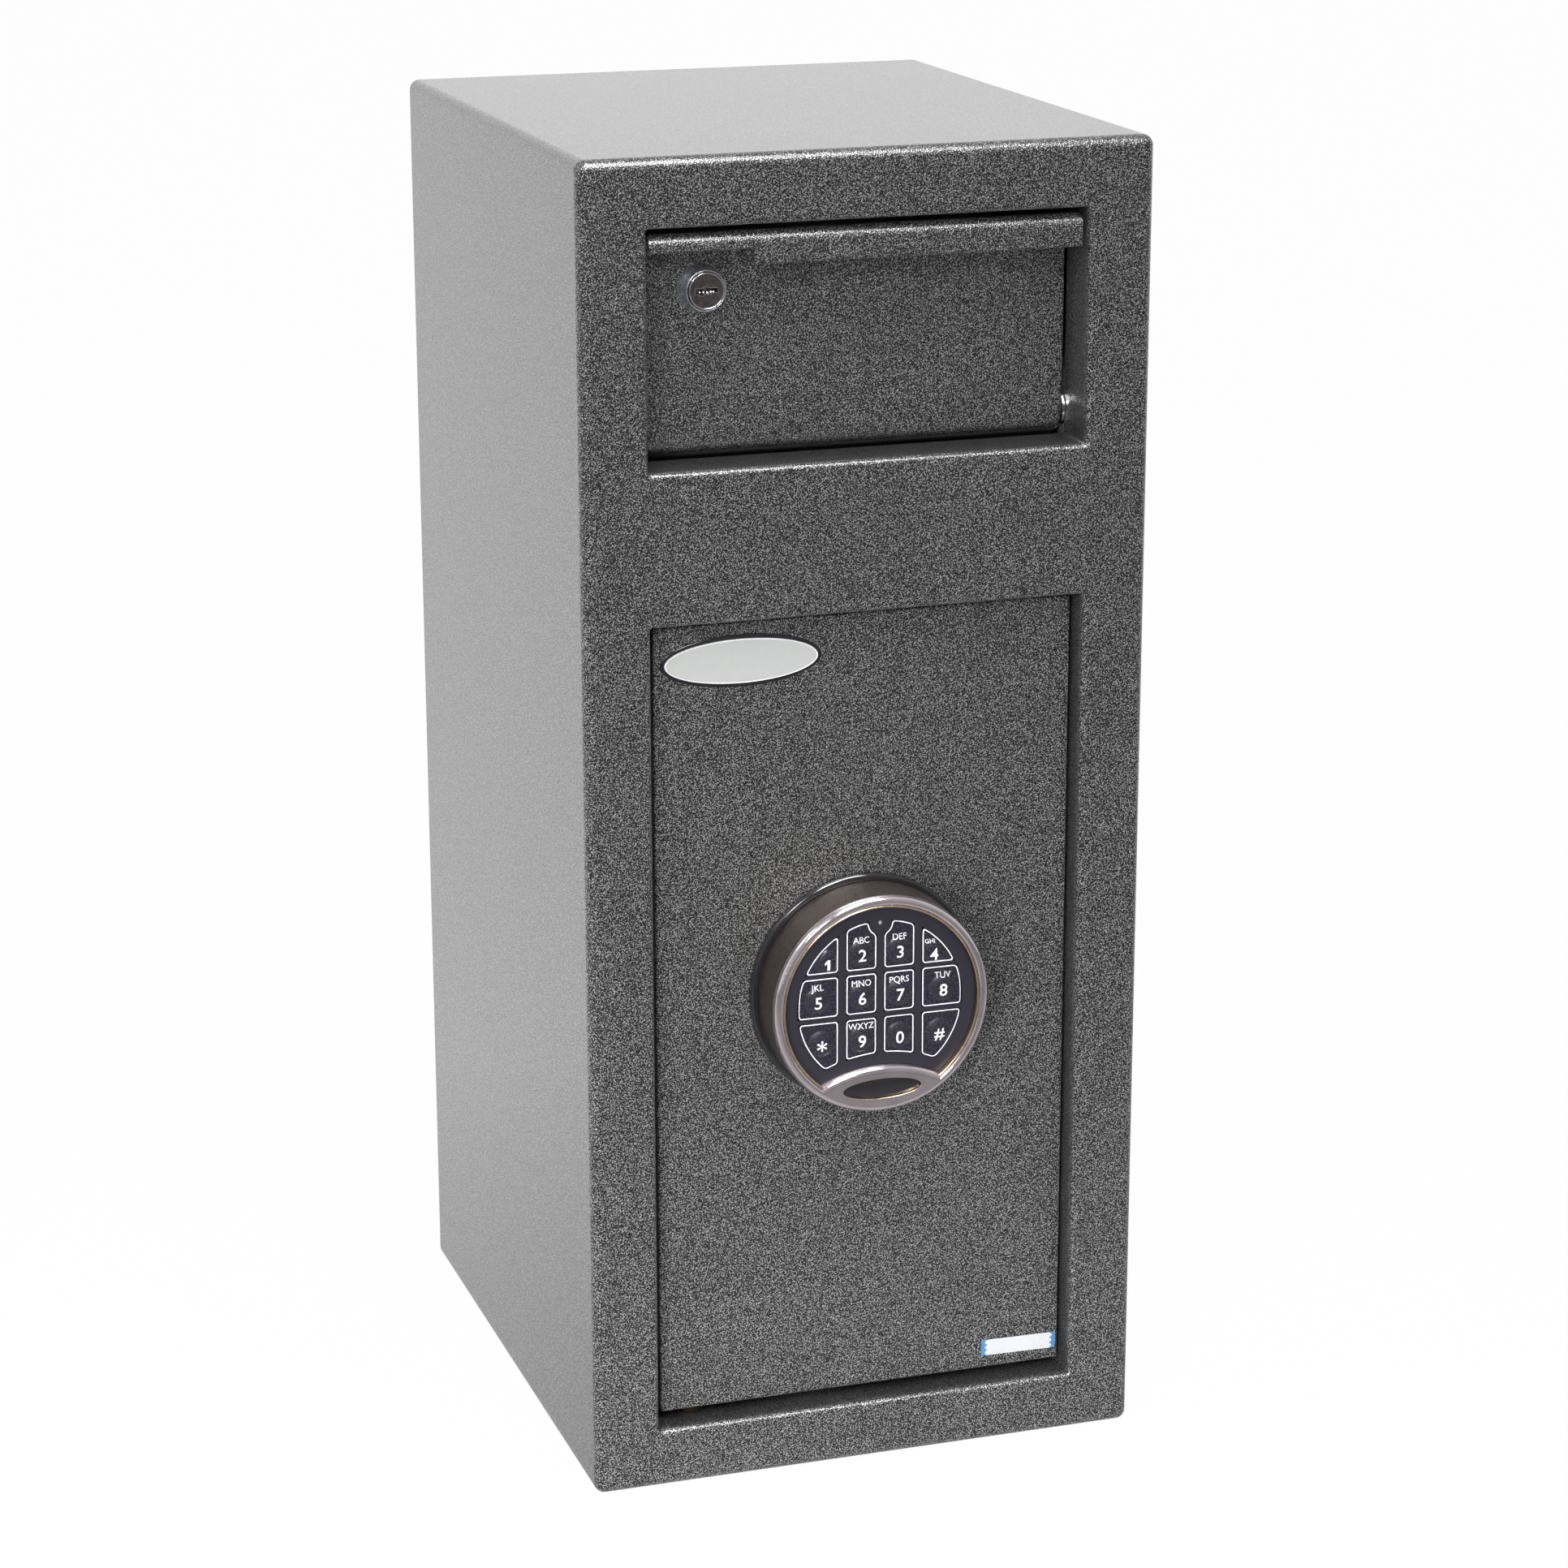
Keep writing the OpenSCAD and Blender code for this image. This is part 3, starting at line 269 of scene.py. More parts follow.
def hammertone(name, contrast, base, relief):
    """Dark enamel with bright worm-like flakes. The noise is stretched about its middle by the sharpness. The
    hollows, the ground and the flakes are the base times one, less or more a share of the contrast."""
    material, tree, shader, place = new_material(name)
    turned_place = tree.nodes.new("ShaderNodeMapping")
    turned_place.inputs["Rotation"].default_value = FLAKE_TURN
    tree.links.new(place, turned_place.inputs["Vector"])
    worms = noise(tree, turned_place.outputs["Vector"], FLAKE_SCALE, 0.0, 0.15)
    level = math_node(tree, "MULTIPLY_ADD", worms, FLAKE_SHARPNESS, FLAKE_MIDDLE - 0.5 * FLAKE_SHARPNESS)
    hollow, ground = base * (1 - HOLLOW_DARKER * contrast), base * (1 - GROUND_DARKER * contrast)
    flake = base * (1 + FLAKE_BRIGHTER * contrast)
    ramp(tree, level, [(0.12, hollow), (0.5, ground), (0.92, flake)], shader.inputs["Base Color"])
    ramp(tree, level, [(0.2, 0.42), (0.9, 0.26)], shader.inputs["Roughness"])
    shader.inputs["Metallic"].default_value = 0.35
    shader.inputs["Specular IOR Level"].default_value = 0.2
    shader.inputs["Coat Weight"].default_value = 0.9
    shader.inputs["Coat Roughness"].default_value = 0.15
    bump(tree, shader, level, relief, 0.2)
    bump(tree, shader, level, relief * 0.4, 0.2, "Coat Normal")
    return material


front_paint = hammertone("hammertone_front", 1.0, 0.05, 0.5)
# A copy with a weaker pattern on a lighter ground: painted light, the grazing light on the sides, top and
# back.
shell_paint_grazing_light = hammertone("hammertone_shell_painted_light", 0.6, 0.06, 0.1)
# A darker copy of the paint: painted shade of the recessed returns.
return_paint_recess_shade = hammertone("hammertone_return_painted_shade", 0.8, 0.04, 0.3)
tray_paint = hammertone("inner_paint", 0.15, 0.30, 0.15)
print("paints:", [paint.name for paint in (front_paint, shell_paint_grazing_light, return_paint_recess_shade, tray_paint)])

# %% [markdown]
# ## Metals and plastics
#
# Bare metal is mostly its reflection, so its recipe varies the roughness and leaves the colour nearly even.
# Plastics, prints and rubber vary a little in colour and have a fine grain in the bump.

# %% Metal and plastic recipes
def metal(name, colour, roughness, grain=300, relief=0.05, metallic=1.0, depth=0.05):
    """A bare metal whose roughness wanders by a third about its middle, with a shallow grain."""
    material, tree, shader, place = new_material(name, roughness, metallic)
    wander = noise(tree, place, grain, 3.0)
    darker = tuple(0.82 * part for part in colour)
    ramp(tree, wander, [(0.3, darker), (0.7, colour)], shader.inputs["Base Color"])
    ramp(tree, wander, [(0.25, roughness * 0.67), (0.75, roughness * 1.33)], shader.inputs["Roughness"])
    bump(tree, shader, wander, relief, depth)
    return material


def plastic(name, colour, roughness, grain=900, relief=0.08, coat=0.0, evenness=0.8):
    """A moulded plastic, rubber or print: even colour with a fine grain."""
    material, tree, shader, place = new_material(name, roughness)
    wander = noise(tree, place, grain, 2.0)
    darker = tuple(evenness * part for part in colour)
    ramp(tree, wander, [(0.3, darker), (0.7, colour)], shader.inputs["Base Color"])
    ramp(tree, wander, [(0.3, roughness * 0.85), (0.7, roughness * 1.15)], shader.inputs["Roughness"])
    shader.inputs["Coat Weight"].default_value = coat
    bump(tree, shader, wander, relief, 0.05)
    return material


# %% Metals, plastics and prints of the safe
zinc = metal("zinc_plate", (0.62, 0.62, 0.60), 0.32)
bright_pin = metal("bright_pin", (0.85, 0.85, 0.86), 0.16)
chrome = metal("chrome", (0.66, 0.59, 0.62), 0.09, 60, 0.01, 0.93)
gold_line = metal("gold_line", (0.78, 0.62, 0.44), 0.2, 300, 0.02)
barrel_chrome = metal("barrel_chrome", (0.205, 0.165, 0.148), 0.34, 1100, 0.5, 0.97, 0.2)
lock_chrome = metal("lock_chrome", (0.60, 0.60, 0.62), 0.14, 500, 0.05)
lock_face = metal("lock_face", (0.13, 0.112, 0.112), 0.34, 700, 0.1, 0.9)
collar_chrome = metal("collar_chrome", (0.50, 0.53, 0.58), 0.27, 500, 0.05, 0.85)
brass = metal("brass", (0.78, 0.58, 0.28), 0.3)
# Near-black brass for the hinge washers, which show only in the shaded gap under the door: painted shade.
shade_dark_brass = metal("shade_dark_brass", (0.06, 0.05, 0.035), 0.5)
die_cast = metal("die_cast", (0.45, 0.46, 0.47), 0.5, 900, 0.2)
coil_black = plastic("coil_black", (0.02, 0.02, 0.022), 0.38)
membrane_black = plastic("membrane", (0.016, 0.0145, 0.024), 0.42, 1200, 0.05)
key_black = plastic("key_black", (0.016, 0.0145, 0.024), 0.26, 1200, 0.0, 0.0, 0.95)
print_white = plastic("print_white", (0.78, 0.78, 0.82), 0.5)
gloss_black = plastic("gloss_black", (0.012, 0.011, 0.014), 0.12, 400, 0.0, 0.6)
lamp_grey = plastic("lamp", (0.20, 0.20, 0.21), 0.25, 400, 0.0, 0.5)
circuit_green = plastic("circuit", (0.02, 0.12, 0.06), 0.4)
cell_gold = plastic("cell_jacket", (0.45, 0.33, 0.10), 0.3)
silver = plastic("badge_silver", (0.40, 0.41, 0.40), 0.42, 500, 0.0, 0.0, 0.97)
paper = plastic("label_paper", (0.50, 0.51, 0.53), 0.6, 900, 0.08, 0.0, 0.92)
label_blue = plastic("label_blue", (0.06, 0.20, 0.42), 0.55)
rubber = plastic("mat", (0.03, 0.03, 0.032), 0.8, 500, 0.4)
print("materials in all:", len(bpy.data.materials))

# %% [markdown]
# ## Pieces that keep their CAD shape
#
# The bolt work, hinges and other inner pieces have the right shape already. Each gets its finish, and a
# narrow bevel takes the knife edge off its corners. A CAD mesh is loose triangles, so a weld comes first. The
# keypad's membrane is a thin sheet that a bevel would wrinkle, so it stays as it is.

# %% Dress the CAD nodes
kept = {
    tray_paint: ["hopper_baffle", "hopper_brackets", "hopper_tray", "inner_cover", "fixed_dog_bar",
                 "door_hinge_lower", "door_hinge_upper", "bolt_guide"],
    zinc: ["lock_strike", "hinge_pin_lower", "hinge_pin_upper", "cover_screws", "guide_posts", "bolt_bar",
           "locking_bolt_upper", "locking_bolt_lower", "solenoid_plunger", "keypad_spindle", "cam_lock_nut",
           "lock_cam", "cam_screw"],
    bright_pin: ["hopper_pivots"],
    brass: ["spindle_bearing", "drive_pinion"],
    shade_dark_brass: ["hinge_washers"],
    die_cast: ["lock_case"],
    coil_black: ["solenoid"],
    membrane_black: ["keypad_membrane"],
    circuit_green: ["circuit_board", "keypad_board"],
    cell_gold: ["batteries"],
    rubber: ["floor_mat"],
}
UNBEVELLED = ["keypad_membrane"]
EDGE_W = 0.3
WELD = 1e-5  # metres between two points that become one


def dress(node, material):
    """Gives a CAD node its finish, and unless it is a thin sheet, a bevel along its corners."""
    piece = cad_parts[node]
    piece.data.materials.clear()
    piece.data.materials.append(material)
    weld = piece.modifiers.new("weld", "WELD")
    weld.merge_threshold = WELD
    if node not in UNBEVELLED:
        edge = piece.modifiers.new("soft edges", "BEVEL")
        edge.width, edge.segments, edge.limit_method = EDGE_W * MM, 2, "ANGLE"
        edge.angle_limit = math.radians(50)
    piece.modifiers.new("even shading", "WEIGHTED_NORMAL").keep_sharp = True


for material, nodes in kept.items():
    for node in nodes:
        dress(node, material)
print("dressed", sum(len(nodes) for nodes in kept.values()), "CAD nodes")

# %% [markdown]
# ## The cabinet's skins
#
# The cabinet is bent from sheet steel, so every outer edge is a round fold. A box with a Bevel modifier would
# come close, but the inward folds of the openings are tighter than the outer ones. So each fold is worked
# out from its own radius and carried round a rectangle. The skins meet where a fold ends and the flat begins,
# because there a seam can't be seen. The front skin is a frame: a fold all round, the flat face, and an
# inward fold round each opening. The shell behind it is a tube, and the back is a lid with folds.

# %% Cabinet sizes from the frame
plate_low, plate_high = box_mm("face_plate")
front, back, top = plate_low[1], box_mm("rear_panel")[1][1], plate_high[2]
half_width = plate_high[0]
SHEET = plate_high[1] - plate_low[1]
FOLD = 4.0
OPENING_FOLD = 2.2
MITRE = 1.0
door_ring_low, door_ring_high = box_mm("door_surround")
hopper_ring_low, hopper_ring_high = box_mm("hopper_surround")


def opening_of(ring_low, ring_high):
    """The clear opening inside a folded return, as its two sides, bottom and top."""
    return ring_low[0] + SHEET, ring_high[0] - SHEET, ring_low[2] + SHEET, ring_high[2] - SHEET


door_opening = opening_of(door_ring_low, door_ring_high)
hopper_opening = opening_of(hopper_ring_low, hopper_ring_high)
print("door opening", door_opening, "hopper opening", hopper_opening)


def shrunk(sides, amount):
    """A rectangle drawn in by the same amount on each side."""
    x0, x1, z0, z1 = sides
    return x0 + amount, x1 - amount, z0 + amount, z1 - amount


def grown_loop(sides, radius):
    """A rectangle's corners moved out by a radius; with no radius, its four corners."""
    return corner_loop(*sides, radius) if radius else corner_loop(*sides, 0, 0)


def fold_skin(inner, radii, depths, wrap_rows=False):
    """A fold carried round a rectangle: one loop for each radius and depth along the bend."""
    return tube([corner_loop(*inner, radius) for radius in radii], at_depth, depths, wrap_rows)


# %% Front skin
outer = shrunk((-half_width, half_width, 0, top), FOLD)
bend = np.linspace(0, np.pi / 2, 10)
fold_y = front + FOLD


def front_skin():
    """The fold follows sine and one minus cosine of the bend angle, outwards round the rim and inwards round
    each opening, and flat regions close the face and the back."""
    inner = [shrunk(opening, MITRE) for opening in (door_opening, hopper_opening)]
    face_rims = [grown_loop(rim, MITRE + OPENING_FOLD) for rim in inner]
    surfaces = [
        fold_skin(outer, FOLD * np.sin(bend), front + FOLD * (1 - np.cos(bend))),
        region([grown_loop(outer, 0)] + face_rims, at_depth, front),
        region([grown_loop(outer, FOLD)] + [grown_loop(rim, MITRE) for rim in inner], at_depth, fold_y),
    ]
    for rim in inner:
        radii = np.append(MITRE + OPENING_FOLD * (1 - np.sin(bend)), MITRE)
        depths = np.append(front + OPENING_FOLD * (1 - np.cos(bend)), fold_y)
        surfaces.append(fold_skin(rim, radii, depths))
    return surfaces


make_piece("face_plate_skin", front_skin(), [front_paint], "cabinet", ["face_plate"])

# %% Shell
ANCHOR_X, ANCHOR_Y, ANCHOR_R = 60.0, 60.0, 5.5
REAR_RISE = 120.0


def shell_skin():
    """A tube with the outer fold at its corners. Its loop starts at the last corner and isn't closed, which
    leaves out the floor. That is a flat region with the four anchor holes, and a short tube lines each."""
    y0, y1 = fold_y, back - FOLD
    holes = [ring_loop(x, y, ANCHOR_R) for x in (-ANCHOR_X, ANCHOR_X) for y in (-ANCHOR_Y, ANCHOR_Y)]
    inner = shrunk(outer, SHEET - FOLD + MITRE)
    rims = [corner_loop(*outer, FOLD), corner_loop(*inner, MITRE)]
    surfaces = []
    for rim in rims:
        loop = np.roll(rim, -3 * (CORNER_STEPS + 1), axis=0)
        surfaces.append(skin(np.stack([at_depth(loop, y) for y in np.linspace(y0, y1, 5)])))
    surfaces += [tube(rims, at_depth, (y, y)) for y in (y0, y1)]
    for z, sides in ((0, outer), (SHEET, inner)):
        surfaces.append(region([corner_loop(*sides[:2], y0, y1, 0, 0)] + holes, at_height, z))
    return surfaces + [tube([hole, hole], at_height, (0, SHEET)) for hole in holes]


make_piece("body_shell_skin", shell_skin(), [shell_paint_grazing_light], "cabinet", ["body_shell"])


# %% Back
def back_skin():
    """The same fold as the front's, turned to the back, with four anchor holes through the flat."""
    heights = (top / 2 - REAR_RISE, top / 2 + REAR_RISE)
    holes = [ring_loop(x, z, ANCHOR_R) for x in (-ANCHOR_X, ANCHOR_X) for z in heights]
    surfaces = [
        fold_skin(outer, FOLD * np.sin(bend), back - FOLD * (1 - np.cos(bend))),
        region([grown_loop(outer, 0)] + holes, at_depth, back),
        region([grown_loop(outer, FOLD)] + holes, at_depth, back - FOLD),
    ]
    return surfaces + [tube([hole, hole], at_depth, (back - FOLD, back)) for hole in holes]


make_piece("rear_panel_skin", back_skin(), [shell_paint_grazing_light], "cabinet", ["rear_panel"])


# %% [markdown]
# ### Folded returns
#
# Behind each opening the sheet runs on into the cabinet as a frame, one sheet thick. It could be part of the
# front's mesh, but it has a darker copy of the paint, which is painted shade of the recess, and a CAD node of
# its own, so it is a piece of its own. Its section is a closed outline with a cut edge at the back, carried
# round the opening.

# %% Folded returns
RETURN_EDGE = 0.5


def return_skin(opening, end):
    """A rectangular tube from the front skin's fold to the return's back edge, one sheet thick."""
    inner = shrunk(opening, MITRE)
    cut, thick = MITRE + RETURN_EDGE, MITRE + SHEET
    radii = np.array([MITRE, MITRE, cut, thick - RETURN_EDGE, thick, thick])
    depths = np.array([fold_y, end - RETURN_EDGE, end, end, end - RETURN_EDGE, fold_y])
    return [fold_skin(inner, radii, depths, wrap_rows=True)]


make_piece("door_surround_skin", return_skin(door_opening, door_ring_high[1]), [return_paint_recess_shade],
           "cabinet", ["door_surround"])
make_piece("hopper_surround_skin", return_skin(hopper_opening, hopper_ring_high[1]), [return_paint_recess_shade],
           "cabinet", ["hopper_surround"])

# %% [markdown]
# ## Door
#
# The door is thick plate, so its edges are only eased, not folded. The same fold helper makes it: an eased
# edge in front, the thickness, and a flat back.

# %% Door panel
door_low, door_high = box_mm("door_panel")
ring_low, ring_high = box_mm("keypad_base_ring")
KEYPAD_Z = (ring_low[2] + ring_high[2]) / 2
DOOR_CORNER, DOOR_EASE = 1.0, 0.9
SPINDLE_HOLE = 8.03


def door_skin():
    """The eased edge follows sine and one minus cosine of the bend angle round the plate's outline. A flat
    face and a flat back with the spindle's hole close it."""
    inner = shrunk((door_low[0], door_high[0], door_low[2], door_high[2]), DOOR_CORNER)
    y0, y1 = door_low[1], door_high[1]
    hole = ring_loop(0, KEYPAD_Z, SPINDLE_HOLE)
    radii = np.append(DOOR_CORNER - DOOR_EASE * (1 - np.sin(bend)), DOOR_CORNER)
    depths = np.append(y0 + DOOR_EASE * (1 - np.cos(bend)), y1)
    return [
        fold_skin(inner, radii, depths),
        region([corner_loop(*inner, radii[0]), hole], at_depth, y0),
        region([corner_loop(*inner, DOOR_CORNER), hole], at_depth, y1),
        tube([hole, hole], at_depth, (y0, y1)),
    ]


make_piece("door_panel_skin", door_skin(), [front_paint], "door", ["door_panel"])

# %% [markdown]
# ## Hopper panel
#
# One sheet makes the hopper's face. Its lower edge curls round the pivots, and its upper edge folds forward
# and down as a pull lip, cut away over the lock. The section is a closed outline of Y and Z. It runs along X
# through stations: the ends are eased, and at the notch's edge two stations share one place but differ in
# the height of the flange. A Bevel modifier would round the notch's cut edge too, so the ease is worked out
# in the stations.

# %% Hopper panel section
hopper_low, hopper_high = box_mm("hopper_front")
pivot_low, pivot_high = box_mm("hopper_pivots")
PIVOT = (pivot_low[1:] + pivot_high[1:]) / 2
HOPPER_T = 2.0
CURL = 8.0
LIP_BEND, PANEL_BEND, INNER_BEND = 4.5, 1.2, 1.0
LIP_H, NOTCH_H, NOTCH_W = 12.0, 6.5, 38.5
TRAY_SLOPE = 25
FACE_EASE, LIP_EASE = 1.6, 0.35
NEARLY = 0.01
panel_y = PIVOT[0] - CURL
lip_y, hopper_top = hopper_low[1], hopper_high[2]
print("hopper panel's face at", panel_y, "lip's face at", lip_y, "top at", hopper_top)


def hopper_outline(flange):
    """The sheet's section as a chain of arcs: from the flange's lower edge up and over the lip, down the
    panel's back and round the curl, then back along the front to the underside of the lip."""
    t, low = HOPPER_T, hopper_top - flange
    curl_end = 270 - TRAY_SLOPE
    return np.concatenate([
        arc((lip_y + t / 2, low + t / 2), t / 2, 270, 180, 6),
        arc((lip_y + LIP_BEND, hopper_top - LIP_BEND), LIP_BEND, 180, 90, 10),
        arc((panel_y + t - PANEL_BEND, hopper_top - PANEL_BEND), PANEL_BEND, 90, 0, 4),
        arc(PIVOT, CURL - t, 180, curl_end, 12),
        arc(PIVOT, CURL, curl_end, 180, 12),
        arc((panel_y - INNER_BEND, hopper_top - t - INNER_BEND), INNER_BEND, 0, 90, 4),
        arc((lip_y + LIP_BEND, hopper_top - LIP_BEND), LIP_BEND - t, 90, 180, 6),
        arc((lip_y + t / 2, low + t / 2), t / 2, 360, 270, 6),
    ])


# %% Hopper panel skin
def hopper_ease(outline):
    """How far each point of the section draws in at the ends: more on the panel's face, which is folded back
    to the cheeks, than on the lip."""
    on_panel = (outline[:, 0] > panel_y - NEARLY) & (outline[:, 1] < hopper_top - LIP_BEND - HOPPER_T)
    face = on_panel & (np.abs(np.hypot(*(outline - PIVOT).T) - CURL + HOPPER_T) > NEARLY)
    return np.where(face, FACE_EASE, LIP_EASE)


def drawn_in(outline, amount):
    """Moves each point of a closed outline along its inward normal, the average of its two sides'."""
    side = np.roll(outline, -1, axis=0) - outline
    side /= np.maximum(np.linalg.norm(side, axis=1, keepdims=True), 1e-9)
    along = side + np.roll(side, 1, axis=0)
    along /= np.maximum(np.linalg.norm(along, axis=1, keepdims=True), 1e-9)
    area = np.sum(outline[:, 0] * np.roll(outline[:, 1], -1) - np.roll(outline[:, 0], -1) * outline[:, 1])
    inward = np.sign(area) * np.column_stack([-along[:, 1], along[:, 0]])
    return outline + inward * np.asarray(amount)[:, None]


def hopper_skin():
    """Stations along X, each the outline at that place: eased ends follow sine and cosine of the bend."""
    x0, x1 = hopper_low[0], hopper_high[0]
    notch_x = x0 + NOTCH_W
    short, long = hopper_outline(NOTCH_H), hopper_outline(LIP_H)
    turn = np.linspace(0, np.pi / 2, 6)
    stations = []
    for outline, end, way in ((short, x0, 1), (long, x1, -1)):
        ease = hopper_ease(outline)
        steps = []
        for t in turn:
            along = end + way * ease * (1 - np.sin(t))
            steps.append(np.column_stack([along, drawn_in(outline, ease * (1 - np.cos(t)))]))
        stations.append(steps[::-1] if way > 0 else steps)
    edge = [np.column_stack([np.full(len(outline), notch_x), outline]) for outline in (short, long)]
    rows = np.stack(stations[0] + edge + stations[1])
    caps = [region([rows[k][:, 1:]], at_side, x) for k, x in ((0, x0), (-1, x1))]
    return [skin(rows, wrap_columns=True)] + caps


make_piece("hopper_front_skin", hopper_skin(), [front_paint], "hopper", ["hopper_front"], 40)

# %% [markdown]
# ## Cam lock
#
# A key-operated cam lock is a turned part, so its pieces are profiles of radius and depth carried round an
# axis. Its chrome collar flares out towards the panel, two polished rims ring the dark plug, and the plug has
# a keyway in which the bright tips of the pins show. The keyway can't be turned: it is a hole in a flat
# region, and a tube makes its walls.

# %% Cam lock collar
collar_low, collar_high = box_mm("cam_lock_housing")
lock_x, lock_z = (collar_low[0] + collar_high[0]) / 2, (collar_low[2] + collar_high[2]) / 2
lock_y, lock_end = collar_low[1], collar_high[1]
COLLAR_R = 8.75
FACE_R = 7.5
PLUG_R = 6.7
THREAD_R = 8.5
RIM_R = 0.35
FLARE_POWER = 0.45
FOOT_END, PLUG_PLAY = 0.5, 0.05


def collar_profile():
    """Radius and depth: a foot that flares by a power of its rise, the rim, the bore, and the threaded body
    behind the panel."""
    rise = np.linspace(0, 1, 12)
    flare = COLLAR_R - (COLLAR_R - FACE_R) * rise ** FLARE_POWER
    foot = np.column_stack([flare, panel_y + (lock_y + FOOT_END - panel_y) * rise])
    rim = arc((FACE_R - RIM_R, lock_y + RIM_R), RIM_R, 0, -180, 8)
    body = [(PLUG_R + PLUG_PLAY, lock_end), (THREAD_R, lock_end), (THREAD_R, panel_y)]
    return np.concatenate([foot, rim, body])


make_piece("cam_lock_collar", [turned(collar_profile(), lock_x, lock_z)], [collar_chrome],
           "hopper", ["cam_lock_housing"], 30)

# %% Cam lock plug with its keyway
SLOT_D = 5.0
LIP_W, LIP_RISE = 0.35, 0.15
KEYWAY = np.array([(-3.7, -0.9), (-2.5, -0.9), (-2.2, -1.3), (-1.0, -1.3), (-0.7, -0.9), (1.2, -0.9),
                   (1.6, -0.5), (3.7, -0.5), (3.7, 0.9), (0.7, 0.9), (0.4, 1.2), (-0.9, 1.2), (-1.2, 0.9),
                   (-3.7, 0.9)]) * 1.1
plug_front = box_mm("cam_lock_plug")[0][1]


def plug_surfaces():
    """The plug's barrel and rounded rim as a turned profile, its face with the keyway cut out, and the
    keyway's walls, which start from a raised lip."""
    y = plug_front + RIM_R
    rim = arc((PLUG_R - RIM_R, y), RIM_R, 0, -180, 8)
    barrel = np.concatenate([[(0.01, lock_end), (PLUG_R, lock_end)], rim])
    mouth = KEYWAY + [lock_x, lock_z]
    lip = drawn_in(KEYWAY, np.full(len(KEYWAY), -LIP_W)) + [lock_x, lock_z]
    face_edge = ring_loop(lock_x, lock_z, PLUG_R - 2 * RIM_R, 96)
    return [
        turned(barrel, lock_x, lock_z, 96, wrap_rows=False),
        region([face_edge, lip], at_depth, y, 1),
        tube([lip, lip, mouth, mouth], at_depth, (y, y - LIP_RISE, y - LIP_RISE, y + SLOT_D)),
        region([mouth], at_depth, y + SLOT_D, 1),
    ]


make_piece("cam_lock_plug_face", plug_surfaces(), [lock_chrome, lock_face], "lock_plug",
           ["cam_lock_plug"], 30)

# %% Pins in the keyway
PIN_TIPS = ((-2.2, 0.45), (-0.9, 0.6), (0.5, 0.55), (1.8, 0.7), (2.9, 0.5))
PIN_DEPTH, PIN_DROP = 1.6, 0.6


def pin_tips():
    """Small balls side by side along the keyway's lower side: each a half circle turned about the depth."""
    tips = []
    for offset, radius in PIN_TIPS:
        profile = arc((0, plug_front + PIN_DEPTH), radius, 90, -90, 6)
        tips.append(turned(profile, lock_x + offset, lock_z - PIN_DROP, 16))
    return tips


make_piece("cam_lock_pins", pin_tips(), [bright_pin], "lock_plug")

# %% [markdown]
# ## Keypad housing
#
# The keypad is a shallow turned cup. Its barrel has a dark, slightly pitted plating, and its rim is a
# polished ring that rolls inwards to the membrane, which a thin gold bead frames. One profile gives all
# three, cut into stretches so that each can have its own finish.

# %% Housing
cup_low, cup_high = box_mm("keypad_housing")
BEZEL_R = cup_high[0]
bezel_y, cup_back = cup_low[1], cup_high[1]
membrane_y = box_mm("keypad_membrane")[0][1]
MEMBRANE_R, SEAT_D = 37.3, 2.2
CUP_INNER_R, CUP_FLOOR, CUP_BORE = 39.0, 2.0, 6.0
BACK_EASE = 0.6
SHOULDER_W, SHOULDER_D, INNER_D = 2.2, 2.6, 0.9
BEAD_R, BEAD_GAP = 0.45, 0.1


def cup_surfaces():
    """Radius and depth in three stretches that share their ends: the barrel with the cup's inside, the rim,
    made of two quarter ellipses that meet at its crest, and the thin bead that frames the membrane."""
    turn = np.linspace(0, np.pi / 2, 16)
    crest_r, bead_r = BEZEL_R - SHOULDER_W, MEMBRANE_R + BEAD_R
    shoulder = np.column_stack([BEZEL_R - SHOULDER_W * (1 - np.cos(turn)),
                                bezel_y + SHOULDER_D * (1 - np.sin(turn))])
    inner_w = crest_r - bead_r - BEAD_R - BEAD_GAP
    inner = np.column_stack([crest_r - inner_w * np.sin(turn), bezel_y + INNER_D * (1 - np.cos(turn))])
    bead = arc((bead_r, bezel_y + INNER_D + BEAD_GAP), BEAD_R, 0, -180, 10)
    seat_y, floor_y = membrane_y + SEAT_D, cup_back - CUP_FLOOR
    inside = [(MEMBRANE_R, seat_y), (CUP_INNER_R, seat_y), (CUP_INNER_R, floor_y), (CUP_BORE, floor_y)]
    back_edge = arc((BEZEL_R - BACK_EASE, cup_back - BACK_EASE), BACK_EASE, 90, 0, 5)
    barrel = np.concatenate([inside, [(CUP_BORE, cup_back)], back_edge, [(BEZEL_R, bezel_y + SHOULDER_D)]])
    rim = np.concatenate([shoulder, inner[1:]])
    frame_bead = np.concatenate([inner[-1:], bead, inside[:1]])
    return [turned(stretch, 0, KEYPAD_Z, 144, False, number)
            for number, stretch in enumerate([barrel, rim, frame_bead])]


make_piece("keypad_cup", cup_surfaces(), [barrel_chrome, chrome, gold_line], "keypad",
           ["keypad_housing"], 50)

# %% Base ring
RING_R, RING_HOLE, RING_EASE = ring_high[0], 30.0, 1.2


def ring_profile():
    """Radius and depth of a flat ring with a rounded outer front edge."""
    edge = arc((RING_R - RING_EASE, ring_low[1] + RING_EASE), RING_EASE, -90, 0, 8)
    back_side = [(RING_R, ring_high[1]), (RING_HOLE, ring_high[1])]
    return np.concatenate([[(RING_HOLE, ring_low[1])], edge, back_side])


make_piece("keypad_base", [turned(ring_profile(), 0, KEYPAD_Z, 144)], [gloss_black],
           "door", ["keypad_base_ring"])

